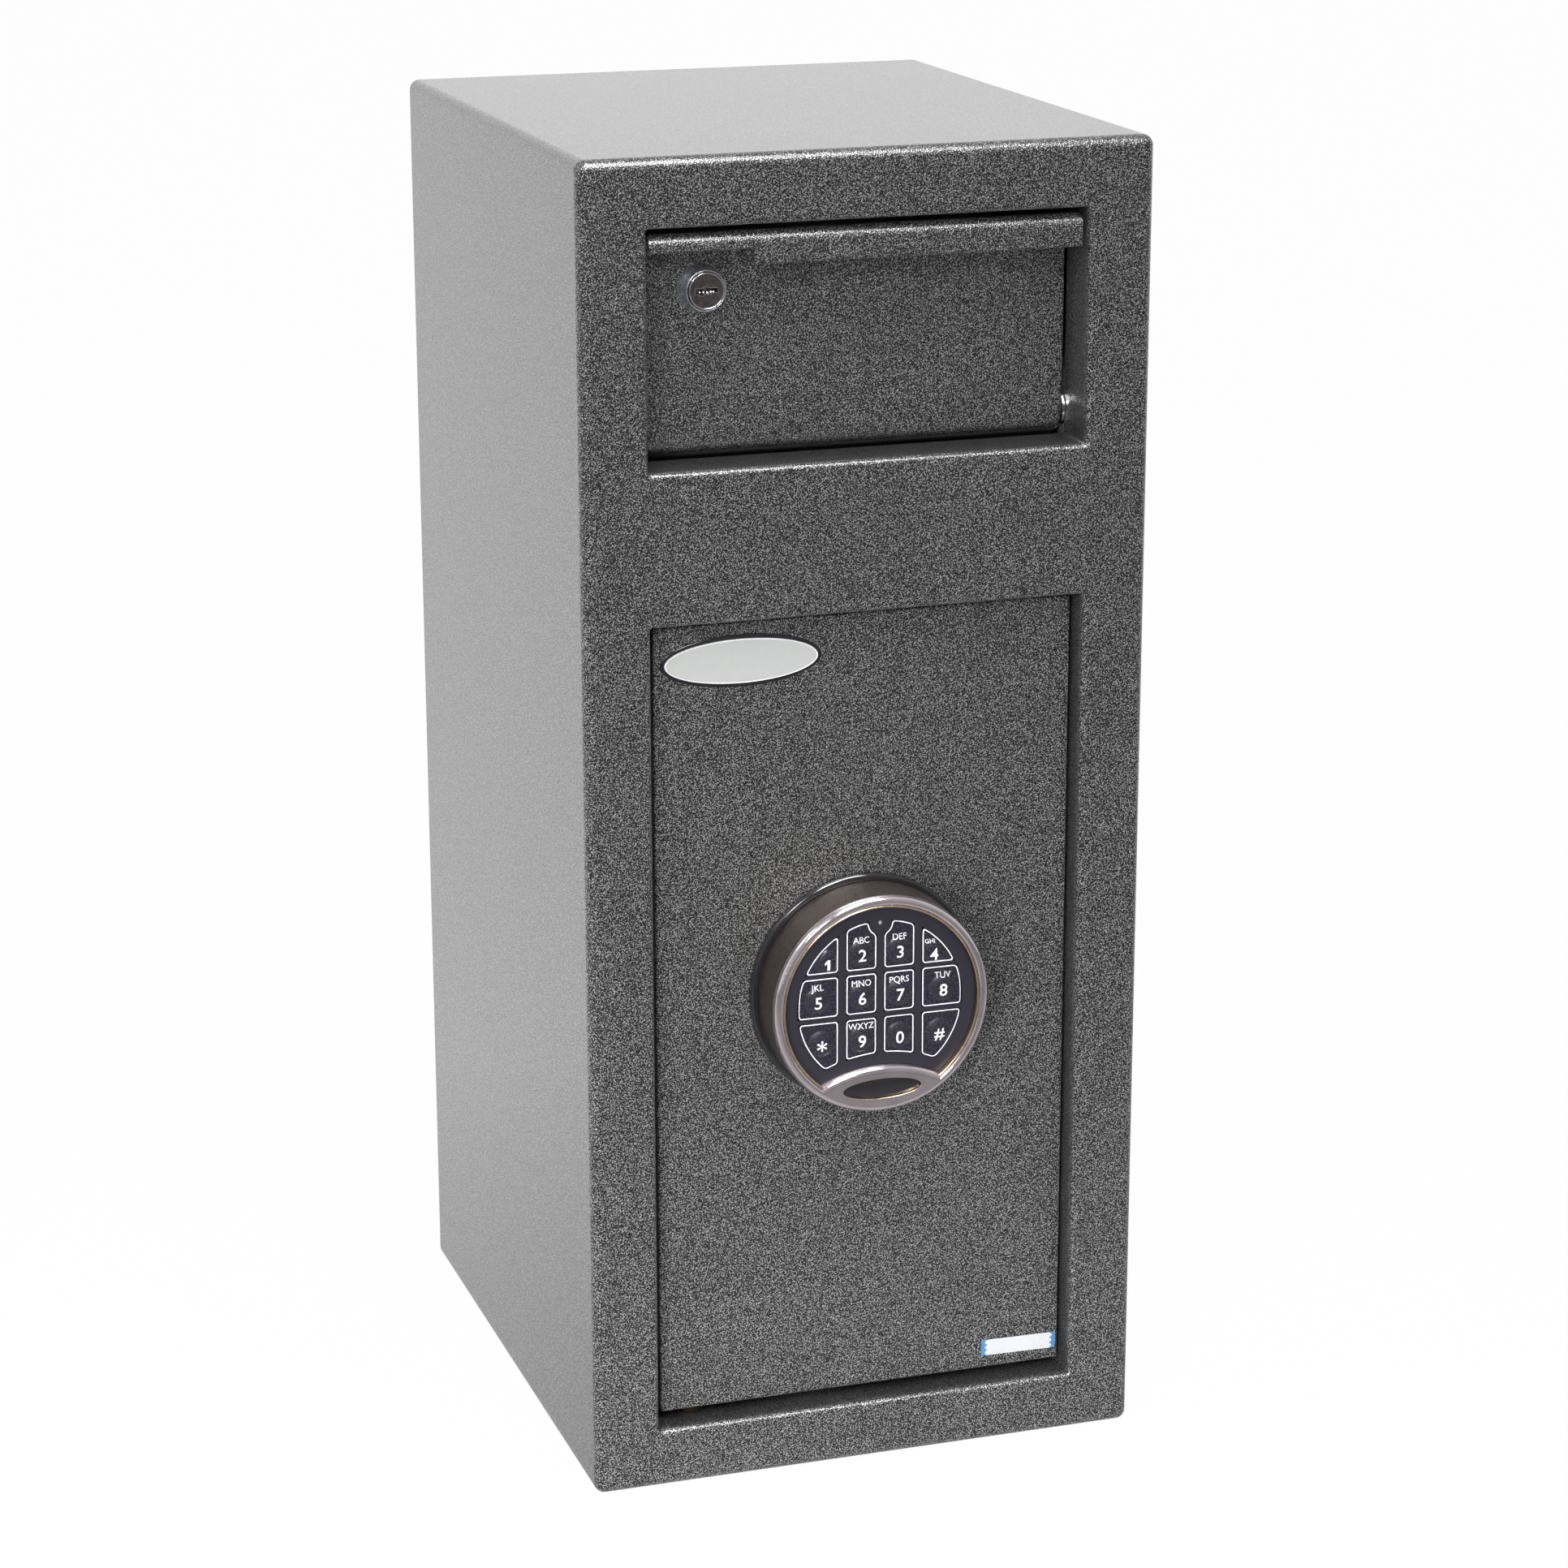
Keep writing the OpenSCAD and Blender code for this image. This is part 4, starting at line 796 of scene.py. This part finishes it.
# %% [markdown]
# ## Bridge with its oval plate
#
# A crescent bridge in the rim's chrome crosses the lower part of the keypad and holds an oval plate. Rays
# from the middle of the oval reach the crescent's outline, which is the overlap of two circles. Halving a
# span along all rays at once finds where they meet it. The surface rolls down to the membrane along the
# upper arc. A separate thin rim goes round the oval, because it has the bead's gold finish.

# %% Bridge
BRIDGE_R, BRIDGE_V = 50.5, -74.4
PLATE_V, PLATE_A, PLATE_B = -32.4, 15.3, 3.9
BRIDGE_ROLL, BRIDGE_LAP, BRIDGE_DROP, BRIDGE_WALL = 2.6, 0.1, 0.02, 1.0


def reach(inside, centre, rays, far):
    """How far each ray runs before it leaves a region. The span that holds the edge is halved, again and
    again, for all rays at once."""
    near, far = np.zeros(len(rays)), np.full(len(rays), float(far))
    for _ in range(40):
        middle = (near + far) / 2
        hit = inside(centre + middle[:, None] * rays)
        near, far = np.where(hit, middle, near), np.where(hit, far, middle)
    return near


def bridge_surfaces():
    """Between the oval and the outline, the depth is the crest's height plus a quarter-circle roll by the
    distance from the upper arc."""
    ray = directions(180) * [PLATE_A, PLATE_B]
    centre, arc_centre = np.array([0, PLATE_V]), np.array([0, BRIDGE_V])

    def lens(p):
        in_rim = np.hypot(*p.T) < BEZEL_R - SHOULDER_W + BRIDGE_LAP
        return in_rim & (np.hypot(*(p - arc_centre).T) < BRIDGE_R)

    end = reach(lens, centre, ray, 8)
    share = np.sin(np.linspace(0, np.pi / 2, 24))
    scale = 1 + share[:, None] * (end - 1)
    flat = centre + scale[..., None] * ray
    from_arc = np.clip(BRIDGE_R - np.hypot(*(np.moveaxis(flat - arc_centre, -1, 0))), 0, BRIDGE_ROLL)
    roll = BRIDGE_ROLL - np.sqrt(BRIDGE_ROLL ** 2 - (BRIDGE_ROLL - from_arc) ** 2)
    depth = bezel_y + BRIDGE_DROP + roll
    front_rows = np.stack([flat[..., 0], depth, flat[..., 1] + KEYPAD_Z], axis=-1)
    inner_wall, outer_wall = at_depth(flat[[0, -1]] + [0, KEYPAD_Z], membrane_y + BRIDGE_WALL)[:, None]
    return [skin(np.concatenate([inner_wall, front_rows, outer_wall]), wrap_rows=True, wrap_columns=True)]


make_piece("keypad_bridge", bridge_surfaces(), [chrome], "keypad", (), 50)


# %% Ovals
def oval_band(half_w, half_h, x, z, width, y_front, y_back, round_r):
    """A band between two ovals with a rounded front: the section's points move in from the outer oval."""
    section = np.concatenate([arc((round_r, y_front + round_r), round_r, 180, 270, 5),
                              arc((width - round_r, y_front + round_r), round_r, 270, 360, 5),
                              [(width, y_back), (0, y_back)]])
    cosine, sine = directions(144).T
    a, b = half_w - section[:, 0:1], half_h - section[:, 0:1]
    points = np.stack([x + a * cosine, section[:, 1:2] + 0 * cosine, z + b * sine], axis=-1)
    return skin(points, wrap_rows=True, wrap_columns=True)


def oval_dome(half_w, half_h, x, z, y, rise, depth):
    """A shallow oval dome: ovals that shrink to a point as the depth rises by one minus the square of the
    radius, with an upright edge and a flat back."""
    ray = directions(120) * [half_w, half_h]
    share = np.linspace(0, 1, 14)[:, None]
    levels = np.concatenate([y - rise * (1 - share ** 2), [[y + depth], [y + depth]]])
    share = np.concatenate([share, [[1.0], [0.0]]])
    points = np.stack([x + share * ray[:, 0], levels + 0 * ray[:, 0], z + share * ray[:, 1]], axis=-1)
    return skin(points, wrap_columns=True)


# %% Oval plate and its rim
PLATE_RISE, PLATE_EDGE, PLATE_PLAY = 0.4, 0.4, 0.1
OVAL_RIM_W, OVAL_RIM_OUT, OVAL_RIM_D, OVAL_RIM_ROUND = 0.55, 0.45, 1.6, 0.27
plate_y, plate_z = box_mm("keypad_plate")[0][1] + PLATE_RISE, KEYPAD_Z + PLATE_V
oval_plate = oval_dome(PLATE_A - PLATE_PLAY, PLATE_B - PLATE_PLAY, 0, plate_z, plate_y,
                       PLATE_RISE, PLATE_EDGE)
make_piece("keypad_oval_plate", [oval_plate], [gloss_black], "keypad", ["keypad_plate"])

oval_rim = oval_band(PLATE_A + OVAL_RIM_OUT, PLATE_B + OVAL_RIM_OUT, 0, plate_z, OVAL_RIM_W,
                     bezel_y, bezel_y + OVAL_RIM_D, OVAL_RIM_ROUND)
make_piece("keypad_oval_rim", [oval_rim], [gold_line], "keypad")

# %% Lamp
lamp_low, lamp_high = box_mm("status_lamp")
LAMP_V = (lamp_low[2] + lamp_high[2]) / 2 - KEYPAD_Z
lamp_r = (lamp_high[0] - lamp_low[0]) / 2
lamp_cap = arc((0, lamp_low[1] + lamp_r), lamp_r, -90, 0, 8)
lamp_profile = np.concatenate([lamp_cap, [(lamp_r, lamp_high[1]), (0, lamp_high[1])]])
make_piece("lamp_dome", [turned(lamp_profile, 0, KEYPAD_Z + LAMP_V, 32)], [lamp_grey],
           "keypad", ["status_lamp"])

# %% [markdown]
# ## Keys
#
# Twelve zones of the membrane are keys. A zone is bounded by its column and row, by an outer circle, by a
# small circle round the lamp, and by an arc above the bridge. The distance to the nearest of these limits,
# rounded where two of them meet, describes every zone with one formula. Each key has a raised dome, a white
# outline, a digit just below the dome's middle, and the usual telephone letters above it.

# %% Key zones
ZONE_R, ZONE_CORNER = 32.0, 1.4
LAMP_CLEAR, LOWEST_ARC_R = 4.4, 54.9
COLUMNS = [(-ZONE_R, -16.3), (-13.2, -1.5), (1.5, 13.2), (16.3, ZONE_R)]
ROWS = [(13.4, ZONE_R), (-3.5, 11.8), (-ZONE_R, -5.4)]
DOME_U = [[-20.6, -7.35, 7.35, 20.6], [-24.3, -7.35, 7.35, 24.3], [-22.9, -7.35, 7.35, 22.9]]
DOME_V = [[17.6, 20, 20, 17.6], [3.4, 3.4, 3.4, 3.4], [-13.4, -13.2, -13.2, -13.4]]
DOME_R, DOME_H = 5.2, 1.5
DOME_BALL = (DOME_R ** 2 + DOME_H ** 2) / (2 * DOME_H)
FADE_FROM, FADE_WIDTH = 0.6, 0.7
KEY_EASE, FACE_SHARE = 0.15, 0.985
KEY_REACH = 30  # further than any zone's edge
OUTLINE_W, OUTLINE_INSET, OUTLINE_H = 0.42, 0.12, 0.05
key_back = box_mm("key_1")[1][1]
print("key faces at", membrane_y, "backs at", key_back, "radius of the domes' ball", round(DOME_BALL, 2))


def dome_middle(row, column):
    """The middle of a key's dome, across and up from the keypad's middle."""
    return np.array([DOME_U[row][column], DOME_V[row][column]])


def zone_distance(p, row, column):
    """How far a point lies outside a key's zone: the limits' distances, rounded where two of them meet."""
    u, v = p[..., 0], p[..., 1]
    (u0, u1), (v0, v1) = COLUMNS[column], ROWS[row]
    limits = np.stack([u0 - u, u - u1, v0 - v, v - v1, np.hypot(u, v) - ZONE_R,
                       LAMP_CLEAR - np.hypot(u, v - LAMP_V), LOWEST_ARC_R - np.hypot(u, v - BRIDGE_V)])
    return np.linalg.norm(np.maximum(limits + ZONE_CORNER, 0), axis=0) - ZONE_CORNER


# %% Key faces and outlines
def key_depth(p, row, column):
    """The key's face: a cap of a ball about the dome's middle, faded out before the outline."""
    from_middle = np.minimum(np.hypot(*np.moveaxis(p - dome_middle(row, column), -1, 0)), DOME_R)
    cap = np.sqrt(DOME_BALL ** 2 - from_middle ** 2) - (DOME_BALL - DOME_H)
    fade = np.clip((-zone_distance(p, row, column) - FADE_FROM) / FADE_WIDTH, 0, 1)
    return membrane_y - cap * fade


def key_body(row, column):
    """Rows of points on rays from the dome's middle to the zone's edge. After them come an eased edge, the
    side and the back, which closes in the middle."""
    centre, ray = dome_middle(row, column), directions(132)
    end = reach(lambda p: zone_distance(p, row, column) < 0, centre, ray, KEY_REACH)
    share = np.append(np.linspace(0, 1, 34)[:-1], FACE_SHARE)[:, None]
    flat = centre + (share * end)[..., None] * ray
    edge = centre + end[:, None] * ray
    levels = np.array([membrane_y + KEY_EASE, key_back, key_back])[:, None]
    flats = np.concatenate([flat, np.stack([edge, edge, np.broadcast_to(centre, edge.shape)])])
    depths = np.concatenate([key_depth(flat, row, column), np.broadcast_to(levels, (3, len(ray)))])
    return skin(np.stack([flats[..., 0], depths, flats[..., 1] + KEYPAD_Z], axis=-1), wrap_columns=True)


def key_outline(row, column):
    """A flat printed band: the zone's edge drawn in twice, a little proud of the key."""
    centre, ray = dome_middle(row, column), directions(264)
    rings = []
    for inset, level in ((OUTLINE_INSET, OUTLINE_H), (OUTLINE_INSET, -OUTLINE_H),
                         (OUTLINE_INSET + OUTLINE_W, -OUTLINE_H), (OUTLINE_INSET + OUTLINE_W, OUTLINE_H)):
        end = reach(lambda p: zone_distance(p, row, column) < -inset, centre, ray, KEY_REACH)
        rings.append(at_depth(centre + end[:, None] * ray + [0, KEYPAD_Z], membrane_y + level))
    return skin(np.stack(rings), wrap_rows=True, wrap_columns=True, number=1)


# %% [markdown]
# ### Printed characters
#
# A picture of the characters would blur in a close view, so they are thin solids. Blender's own font gives
# them, apart from the 1: the keypad's has no foot, so a filled polygon draws it. The curve is turned into a
# mesh, its long edges are split, and each point is then laid on the dome, so the print follows the bulge.

# %% Characters on the keys
ONE = [(-0.05, -0.36), (0.11, -0.36), (0.11, 0.36), (-0.02, 0.36), (-0.2, 0.2), (-0.2, 0.06), (-0.05, 0.16)]
PRINT_H, PRINT_GAP, LONGEST = 0.04, 0.03, 0.9


def characters(words, size, bold):
    """Thin solid letters about their own centre, as points in millimetres and triangles."""
    if words == "1":
        curve = bpy.data.curves.new("one", "CURVE")
        curve.dimensions, curve.fill_mode, curve.extrude = "2D", "BOTH", PRINT_H
        line = curve.splines.new("POLY")
        line.points.add(len(ONE) - 1)
        corners = np.column_stack([np.array(ONE) * size, np.zeros(len(ONE)), np.ones(len(ONE))])
        line.points.foreach_set("co", corners.ravel())
        line.use_cyclic_u = True
    else:
        curve = bpy.data.curves.new("characters", "FONT")
        curve.body, curve.size, curve.offset, curve.extrude = words, size, bold, PRINT_H
        curve.align_x, curve.align_y, curve.resolution_u = "CENTER", "CENTER", 4
    helper = bpy.data.objects.new("characters", curve)
    bpy.context.scene.collection.objects.link(helper)
    view = bpy.context.evaluated_depsgraph_get()
    work = bmesh.new()
    work.from_mesh(helper.evaluated_get(view).to_mesh())
    bpy.data.objects.remove(helper)
    for _ in range(3):
        long_edges = [edge for edge in work.edges if edge.calc_length() > LONGEST]
        bmesh.ops.subdivide_edges(work, edges=long_edges, cuts=1)
        bmesh.ops.triangulate(work, faces=work.faces)
    work.verts.index_update()
    points = np.array([vertex.co for vertex in work.verts])
    faces = np.array([[vertex.index for vertex in face.verts] for face in work.faces])
    work.free()
    return points, faces


# %% Print laid on a key
def laid_on_key(words, size, bold, u, v, row, column):
    """Characters set at a place on the keypad, each point at the key's depth there less a small gap."""
    points, faces = characters(words, size, bold)
    flat = points[:, :2] + [u, v]
    depth = key_depth(flat, row, column) - PRINT_GAP - points[:, 2]
    return np.column_stack([flat[:, 0], depth, flat[:, 1] + KEYPAD_Z]), faces, 1


# %% Twelve keys
KEY_NAMES = [["1", "2", "3", "4"], ["5", "6", "7", "8"], ["star", "9", "0", "hash"]]
KEY_SIGNS = {"star": "*", "hash": "#"}
KEY_LETTERS = {"2": "ABC", "3": "DEF", "4": "GHI", "5": "JKL", "6": "MNO", "7": "PQRS", "8": "TUV",
               "9": "WXYZ"}
DIGIT_SIZE, DIGIT_DROP, DIGIT_BOLD = 6.6, 0.9, 0.07
STAR_SIZE, STAR_DROP = DIGIT_SIZE * 1.4, DIGIT_DROP + 1.6
LETTER_SIZE, LETTER_RISE = 3.3, 4.9
CORNER_LETTERS = (2.3, -1.4, 4.3)
for row, names in enumerate(KEY_NAMES):
    for column, name in enumerate(names):
        u, v = dome_middle(row, column)
        size, drop = (STAR_SIZE, STAR_DROP) if name == "star" else (DIGIT_SIZE, DIGIT_DROP)
        sign = laid_on_key(KEY_SIGNS.get(name, name), size, DIGIT_BOLD, u, v - drop, row, column)
        surfaces = [key_body(row, column), key_outline(row, column), sign]
        if name in KEY_LETTERS:
            size, aside, rise = CORNER_LETTERS if name == "4" else (LETTER_SIZE, 0, LETTER_RISE)
            surfaces.append(laid_on_key(KEY_LETTERS[name], size, 0.0, u + aside, v + rise, row, column))
        make_piece(f"key_{name}_face", surfaces, [key_black, print_white], f"key_{name}_cap",
                   [f"key_{name}"], 40)

# %% [markdown]
# ## Badge and label
#
# The badge is a thick black oval with a silver plate let into it, ringed by a thin pale line. The ovals of
# the keypad's plate serve again: two bands and a dome. The label is a strip of silvery paper with blue
# scalloped ends, stuck on slightly turned. The blue ends are fields of one sheet: a second sheet would lie in
# the same plane and flicker.

# %% Badge
rim_low, rim_high = box_mm("badge_rim")
badge_x, badge_z = (rim_low[0] + rim_high[0]) / 2, (rim_low[2] + rim_high[2]) / 2
badge_a, badge_b = (rim_high[0] - rim_low[0]) / 2, (rim_high[2] - rim_low[2]) / 2
badge_y = rim_low[1]
BADGE_RIM, BADGE_DROP, BADGE_ROUND, BADGE_PLAY = 1.5, 0.3, 0.35, 0.06
FACE_PROUD, FACE_RISE, FACE_D = 0.05, 0.12, 1.0
LINE_W, LINE_PROUD, LINE_ROUND = 0.45, 0.2, 0.1

border = oval_band(badge_a, badge_b, badge_x, badge_z, BADGE_RIM, badge_y + BADGE_DROP, rim_high[1],
                   BADGE_ROUND)
make_piece("badge_border", [border], [gloss_black], "door", ["badge_rim"])
inner_a, inner_b = badge_a - BADGE_RIM - BADGE_PLAY, badge_b - BADGE_RIM - BADGE_PLAY
plate_body = oval_dome(inner_a, inner_b, badge_x, badge_z, badge_y - FACE_PROUD, FACE_RISE, FACE_D)
make_piece("badge_face", [plate_body], [silver], "door", ["badge_plate"])
line = oval_band(inner_a, inner_b, badge_x, badge_z, LINE_W, badge_y - LINE_PROUD, badge_y + LINE_PROUD,
                 LINE_ROUND)
make_piece("badge_line", [line], [print_white], "door")

# %% Label
label_low, label_high = box_mm("door_label")
LABEL_TURN, LABEL_MARGIN = math.radians(-1.0), 0.3
SCALLOP, SCALLOP_DEEP, SCALLOP_COUNT = 2.5, 1.1, 3


def label_surfaces():
    """A strip in three fields. The border between white and blue goes in and out by the size of a sine, and
    the strip is turned a little about its middle."""
    half_w, _, half_h = (label_high - label_low) / 2 - LABEL_MARGIN
    z = np.linspace(-half_h, half_h, 41)
    wave = SCALLOP_DEEP * np.abs(np.sin(np.pi * SCALLOP_COUNT * (z / (2 * half_h) + 0.5)))
    edges = [-half_w + 0 * z, -half_w + SCALLOP - wave, half_w - SCALLOP + wave, half_w + 0 * z]
    middle = (label_low[[0, 2]] + label_high[[0, 2]]) / 2
    cosine, sine = math.cos(LABEL_TURN), math.sin(LABEL_TURN)
    turn = np.array([[cosine, -sine], [sine, cosine]])
    flat = np.stack([np.column_stack([x, z]) @ turn.T + middle for x in edges])
    front_rows, back_rows = at_depth(flat, label_low[1]), at_depth(flat, label_high[1])
    fields = [skin(front_rows[k:k + 2], number=k % 2) for k in range(3)]
    outline = np.concatenate([flat[0], flat[:, -1], flat[-1][::-1], flat[::-1, 0]])
    side = tube([outline, outline], at_depth, (label_low[1], label_high[1]))
    return fields + [skin(back_rows), side]


make_piece("label_strip", label_surfaces(), [label_blue, paper], "door", ["door_label"])

# %% [markdown]
# ## Studio
#
# The safe stands on plain white as in a catalogue, so the floor and the world are white for the camera. The
# floor gives nearly all of that white by itself, and the rest of it is lit, which keeps a trace of the safe's
# shadow. What reflections see is graded from dark in front of the safe to white behind it. Without the dark
# part the black keys would look grey, and the chrome would have no contrast.

# %% The floor's material
def front_to_back(tree, place, dark_end, white_end):
    """A value that rises evenly with Y, from the dark studio in front of the safe to the white behind it.
    Each end is a pair of a Y and the value there."""
    parts = tree.nodes.new("ShaderNodeSeparateXYZ")
    tree.links.new(place, parts.inputs["Vector"])
    node = tree.nodes.new("ShaderNodeMapRange")
    tree.links.new(parts.outputs["Y"], node.inputs["Value"])
    node.inputs["From Min"].default_value, node.inputs["To Min"].default_value = dark_end
    node.inputs["From Max"].default_value, node.inputs["To Max"].default_value = white_end
    return node.outputs["Result"]


FLOOR_WHITE, FLOOR_GREY = 0.98, 0.86
FLOOR_DARK, FLOOR_BRIGHT = (-0.6, 0.22), (0.35, 0.95)
SKY_DARK, SKY_BRIGHT = (-0.8, 0.12), (0.3, 1.0)


def white_floor():
    """A floor that is pale and diffuse for the light, nearly all white by itself for the camera, and graded
    from front to back for reflections."""
    material, tree, shader, place = new_material("floor", 0.8)
    shader.inputs["Base Color"].default_value = (FLOOR_GREY, FLOOR_GREY, FLOOR_GREY, 1)
    glow = tree.nodes.new("ShaderNodeEmission")
    mix = tree.nodes.new("ShaderNodeMixShader")
    rays = tree.nodes.new("ShaderNodeLightPath")
    direct = math_node(tree, "MULTIPLY", rays.outputs["Is Camera Ray"], FLOOR_WHITE)
    share = math_node(tree, "MAXIMUM", direct, rays.outputs["Is Glossy Ray"])
    mirrored = front_to_back(tree, place, FLOOR_DARK, FLOOR_BRIGHT)
    own_white = math_node(tree, "MAXIMUM", rays.outputs["Is Camera Ray"], mirrored)
    tree.links.new(own_white, glow.inputs["Strength"])
    tree.links.new(share, mix.inputs["Fac"])
    tree.links.new(shader.outputs["BSDF"], mix.inputs[1])
    tree.links.new(glow.outputs["Emission"], mix.inputs[2])
    tree.links.new(mix.outputs["Shader"], tree.nodes["Material Output"].inputs["Surface"])
    return material


# %% Floor
FLOOR_HALF, FLOOR_DROP = 6000.0, 0.2
corners = np.array([[[-1, -1], [1, -1]], [[-1, 1], [1, 1]]]) * FLOOR_HALF
floor_points, floor_faces, _ = skin(at_height(corners, -FLOOR_DROP))
floor_mesh = bpy.data.meshes.new("studio_floor")
floor_mesh.from_pydata((floor_points * MM).tolist(), [], floor_faces.tolist())
floor_mesh.materials.append(white_floor())
floor = bpy.data.objects.new("studio_floor", floor_mesh)
bpy.context.scene.collection.objects.link(floor)
print("floor", 2 * FLOOR_HALF * MM, "m wide,", FLOOR_DROP, "mm under the safe")

# %% World
WORLD_FILL = 0.26
world = bpy.data.worlds.new("studio")
bpy.context.scene.world = world
world.use_nodes = True
sky = world.node_tree
light_path = sky.nodes.new("ShaderNodeLightPath")
direction = sky.nodes.new("ShaderNodeTexCoord").outputs["Generated"]
behind = front_to_back(sky, direction, SKY_DARK, SKY_BRIGHT)
glossy = math_node(sky, "MULTIPLY", light_path.outputs["Is Glossy Ray"], behind)
seen = math_node(sky, "MAXIMUM", light_path.outputs["Is Camera Ray"], glossy)
seen = math_node(sky, "MAXIMUM", seen, light_path.outputs["Is Transmission Ray"])
strength = math_node(sky, "MULTIPLY_ADD", seen, 1 - WORLD_FILL, WORLD_FILL)
sky.nodes["Background"].inputs["Color"].default_value = (1, 1, 1, 1)
sky.links.new(strength, sky.nodes["Background"].inputs["Strength"])
print("world fill", WORLD_FILL, "floor white", FLOOR_WHITE)

# %% [markdown]
# ### Lamps
#
# A lamp above the front and one from the front left give the main light, and a weak one on the left keeps
# the left side pale. A fold looks bright where it mirrors a large lamp above. The glint and lip lamps are
# only there for that: they show in reflections, and matt surfaces get no light from them. The low lamp does
# the opposite: it brightens the lower front, as light from a white floor would, but no key mirrors it.

# %% Soft lamps
def soft_lamp(name, place, aim, size, watts):
    """A square area lamp at a place, turned to face its aim."""
    light = bpy.data.lights.new(name, "AREA")
    light.size, light.energy = size, watts
    lamp = bpy.data.objects.new(name, light)
    bpy.context.scene.collection.objects.link(lamp)
    lamp.location = place
    lamp.rotation_euler = (Vector(aim) - Vector(place)).to_track_quat("-Z", "Y").to_euler()
    return lamp


soft_lamp("top_light", (0.1, -0.95, 2.0), (0, 0, 0.4), 0.9, 16)
soft_lamp("glint_light", (0.1, -1.0, 2.05), (0, 0, 0.3), 1.1, 50).visible_diffuse = False
soft_lamp("lip_light", (-0.1, -1.8, 2.0), (0, 0, 0.3), 0.6, 38).visible_diffuse = False
soft_lamp("front_light", (-0.85, -1.9, 1.4), (0, 0, 0.0), 0.5, 23)
soft_lamp("left_light", (-1.3, -0.3, 1.4), (0, 0, 0.5), 0.6, 4)
low_light = soft_lamp("low_light", (-1.1, -1.5, 0.15), (0, 0, -0.25), 0.6, 4.5)
low_light.data.spread = math.radians(45)
low_light.visible_glossy = False
print("lamps:", len(bpy.data.lights))

# %% [markdown]
# ## Camera
#
# The safe is seen from the left and slightly from above, through a long lens that keeps its edges nearly
# parallel. The place and the angles below come from fitting the safe's corners.

# %% Camera
CAMERA_PLACE = (-0.489, -1.514, 0.699)
CAMERA_YAW, CAMERA_PITCH, CAMERA_ROLL = 18.2, 16.3, 0.10
LENS_MM, SENSOR_MM = 96.6, 36
lens = bpy.data.cameras.new("camera")
lens.lens, lens.sensor_width = LENS_MM, SENSOR_MM
lens.clip_start, lens.clip_end = 0.05, 50
camera = bpy.data.objects.new("camera", lens)
bpy.context.scene.collection.objects.link(camera)
bpy.context.scene.camera = camera
camera.location = CAMERA_PLACE
camera.rotation_euler = [math.radians(turn) for turn in (90 - CAMERA_PITCH, CAMERA_ROLL, -CAMERA_YAW)]
bpy.context.scene.view_settings.view_transform = "Standard"
print("camera at", CAMERA_PLACE, "with a lens of", LENS_MM, "mm")
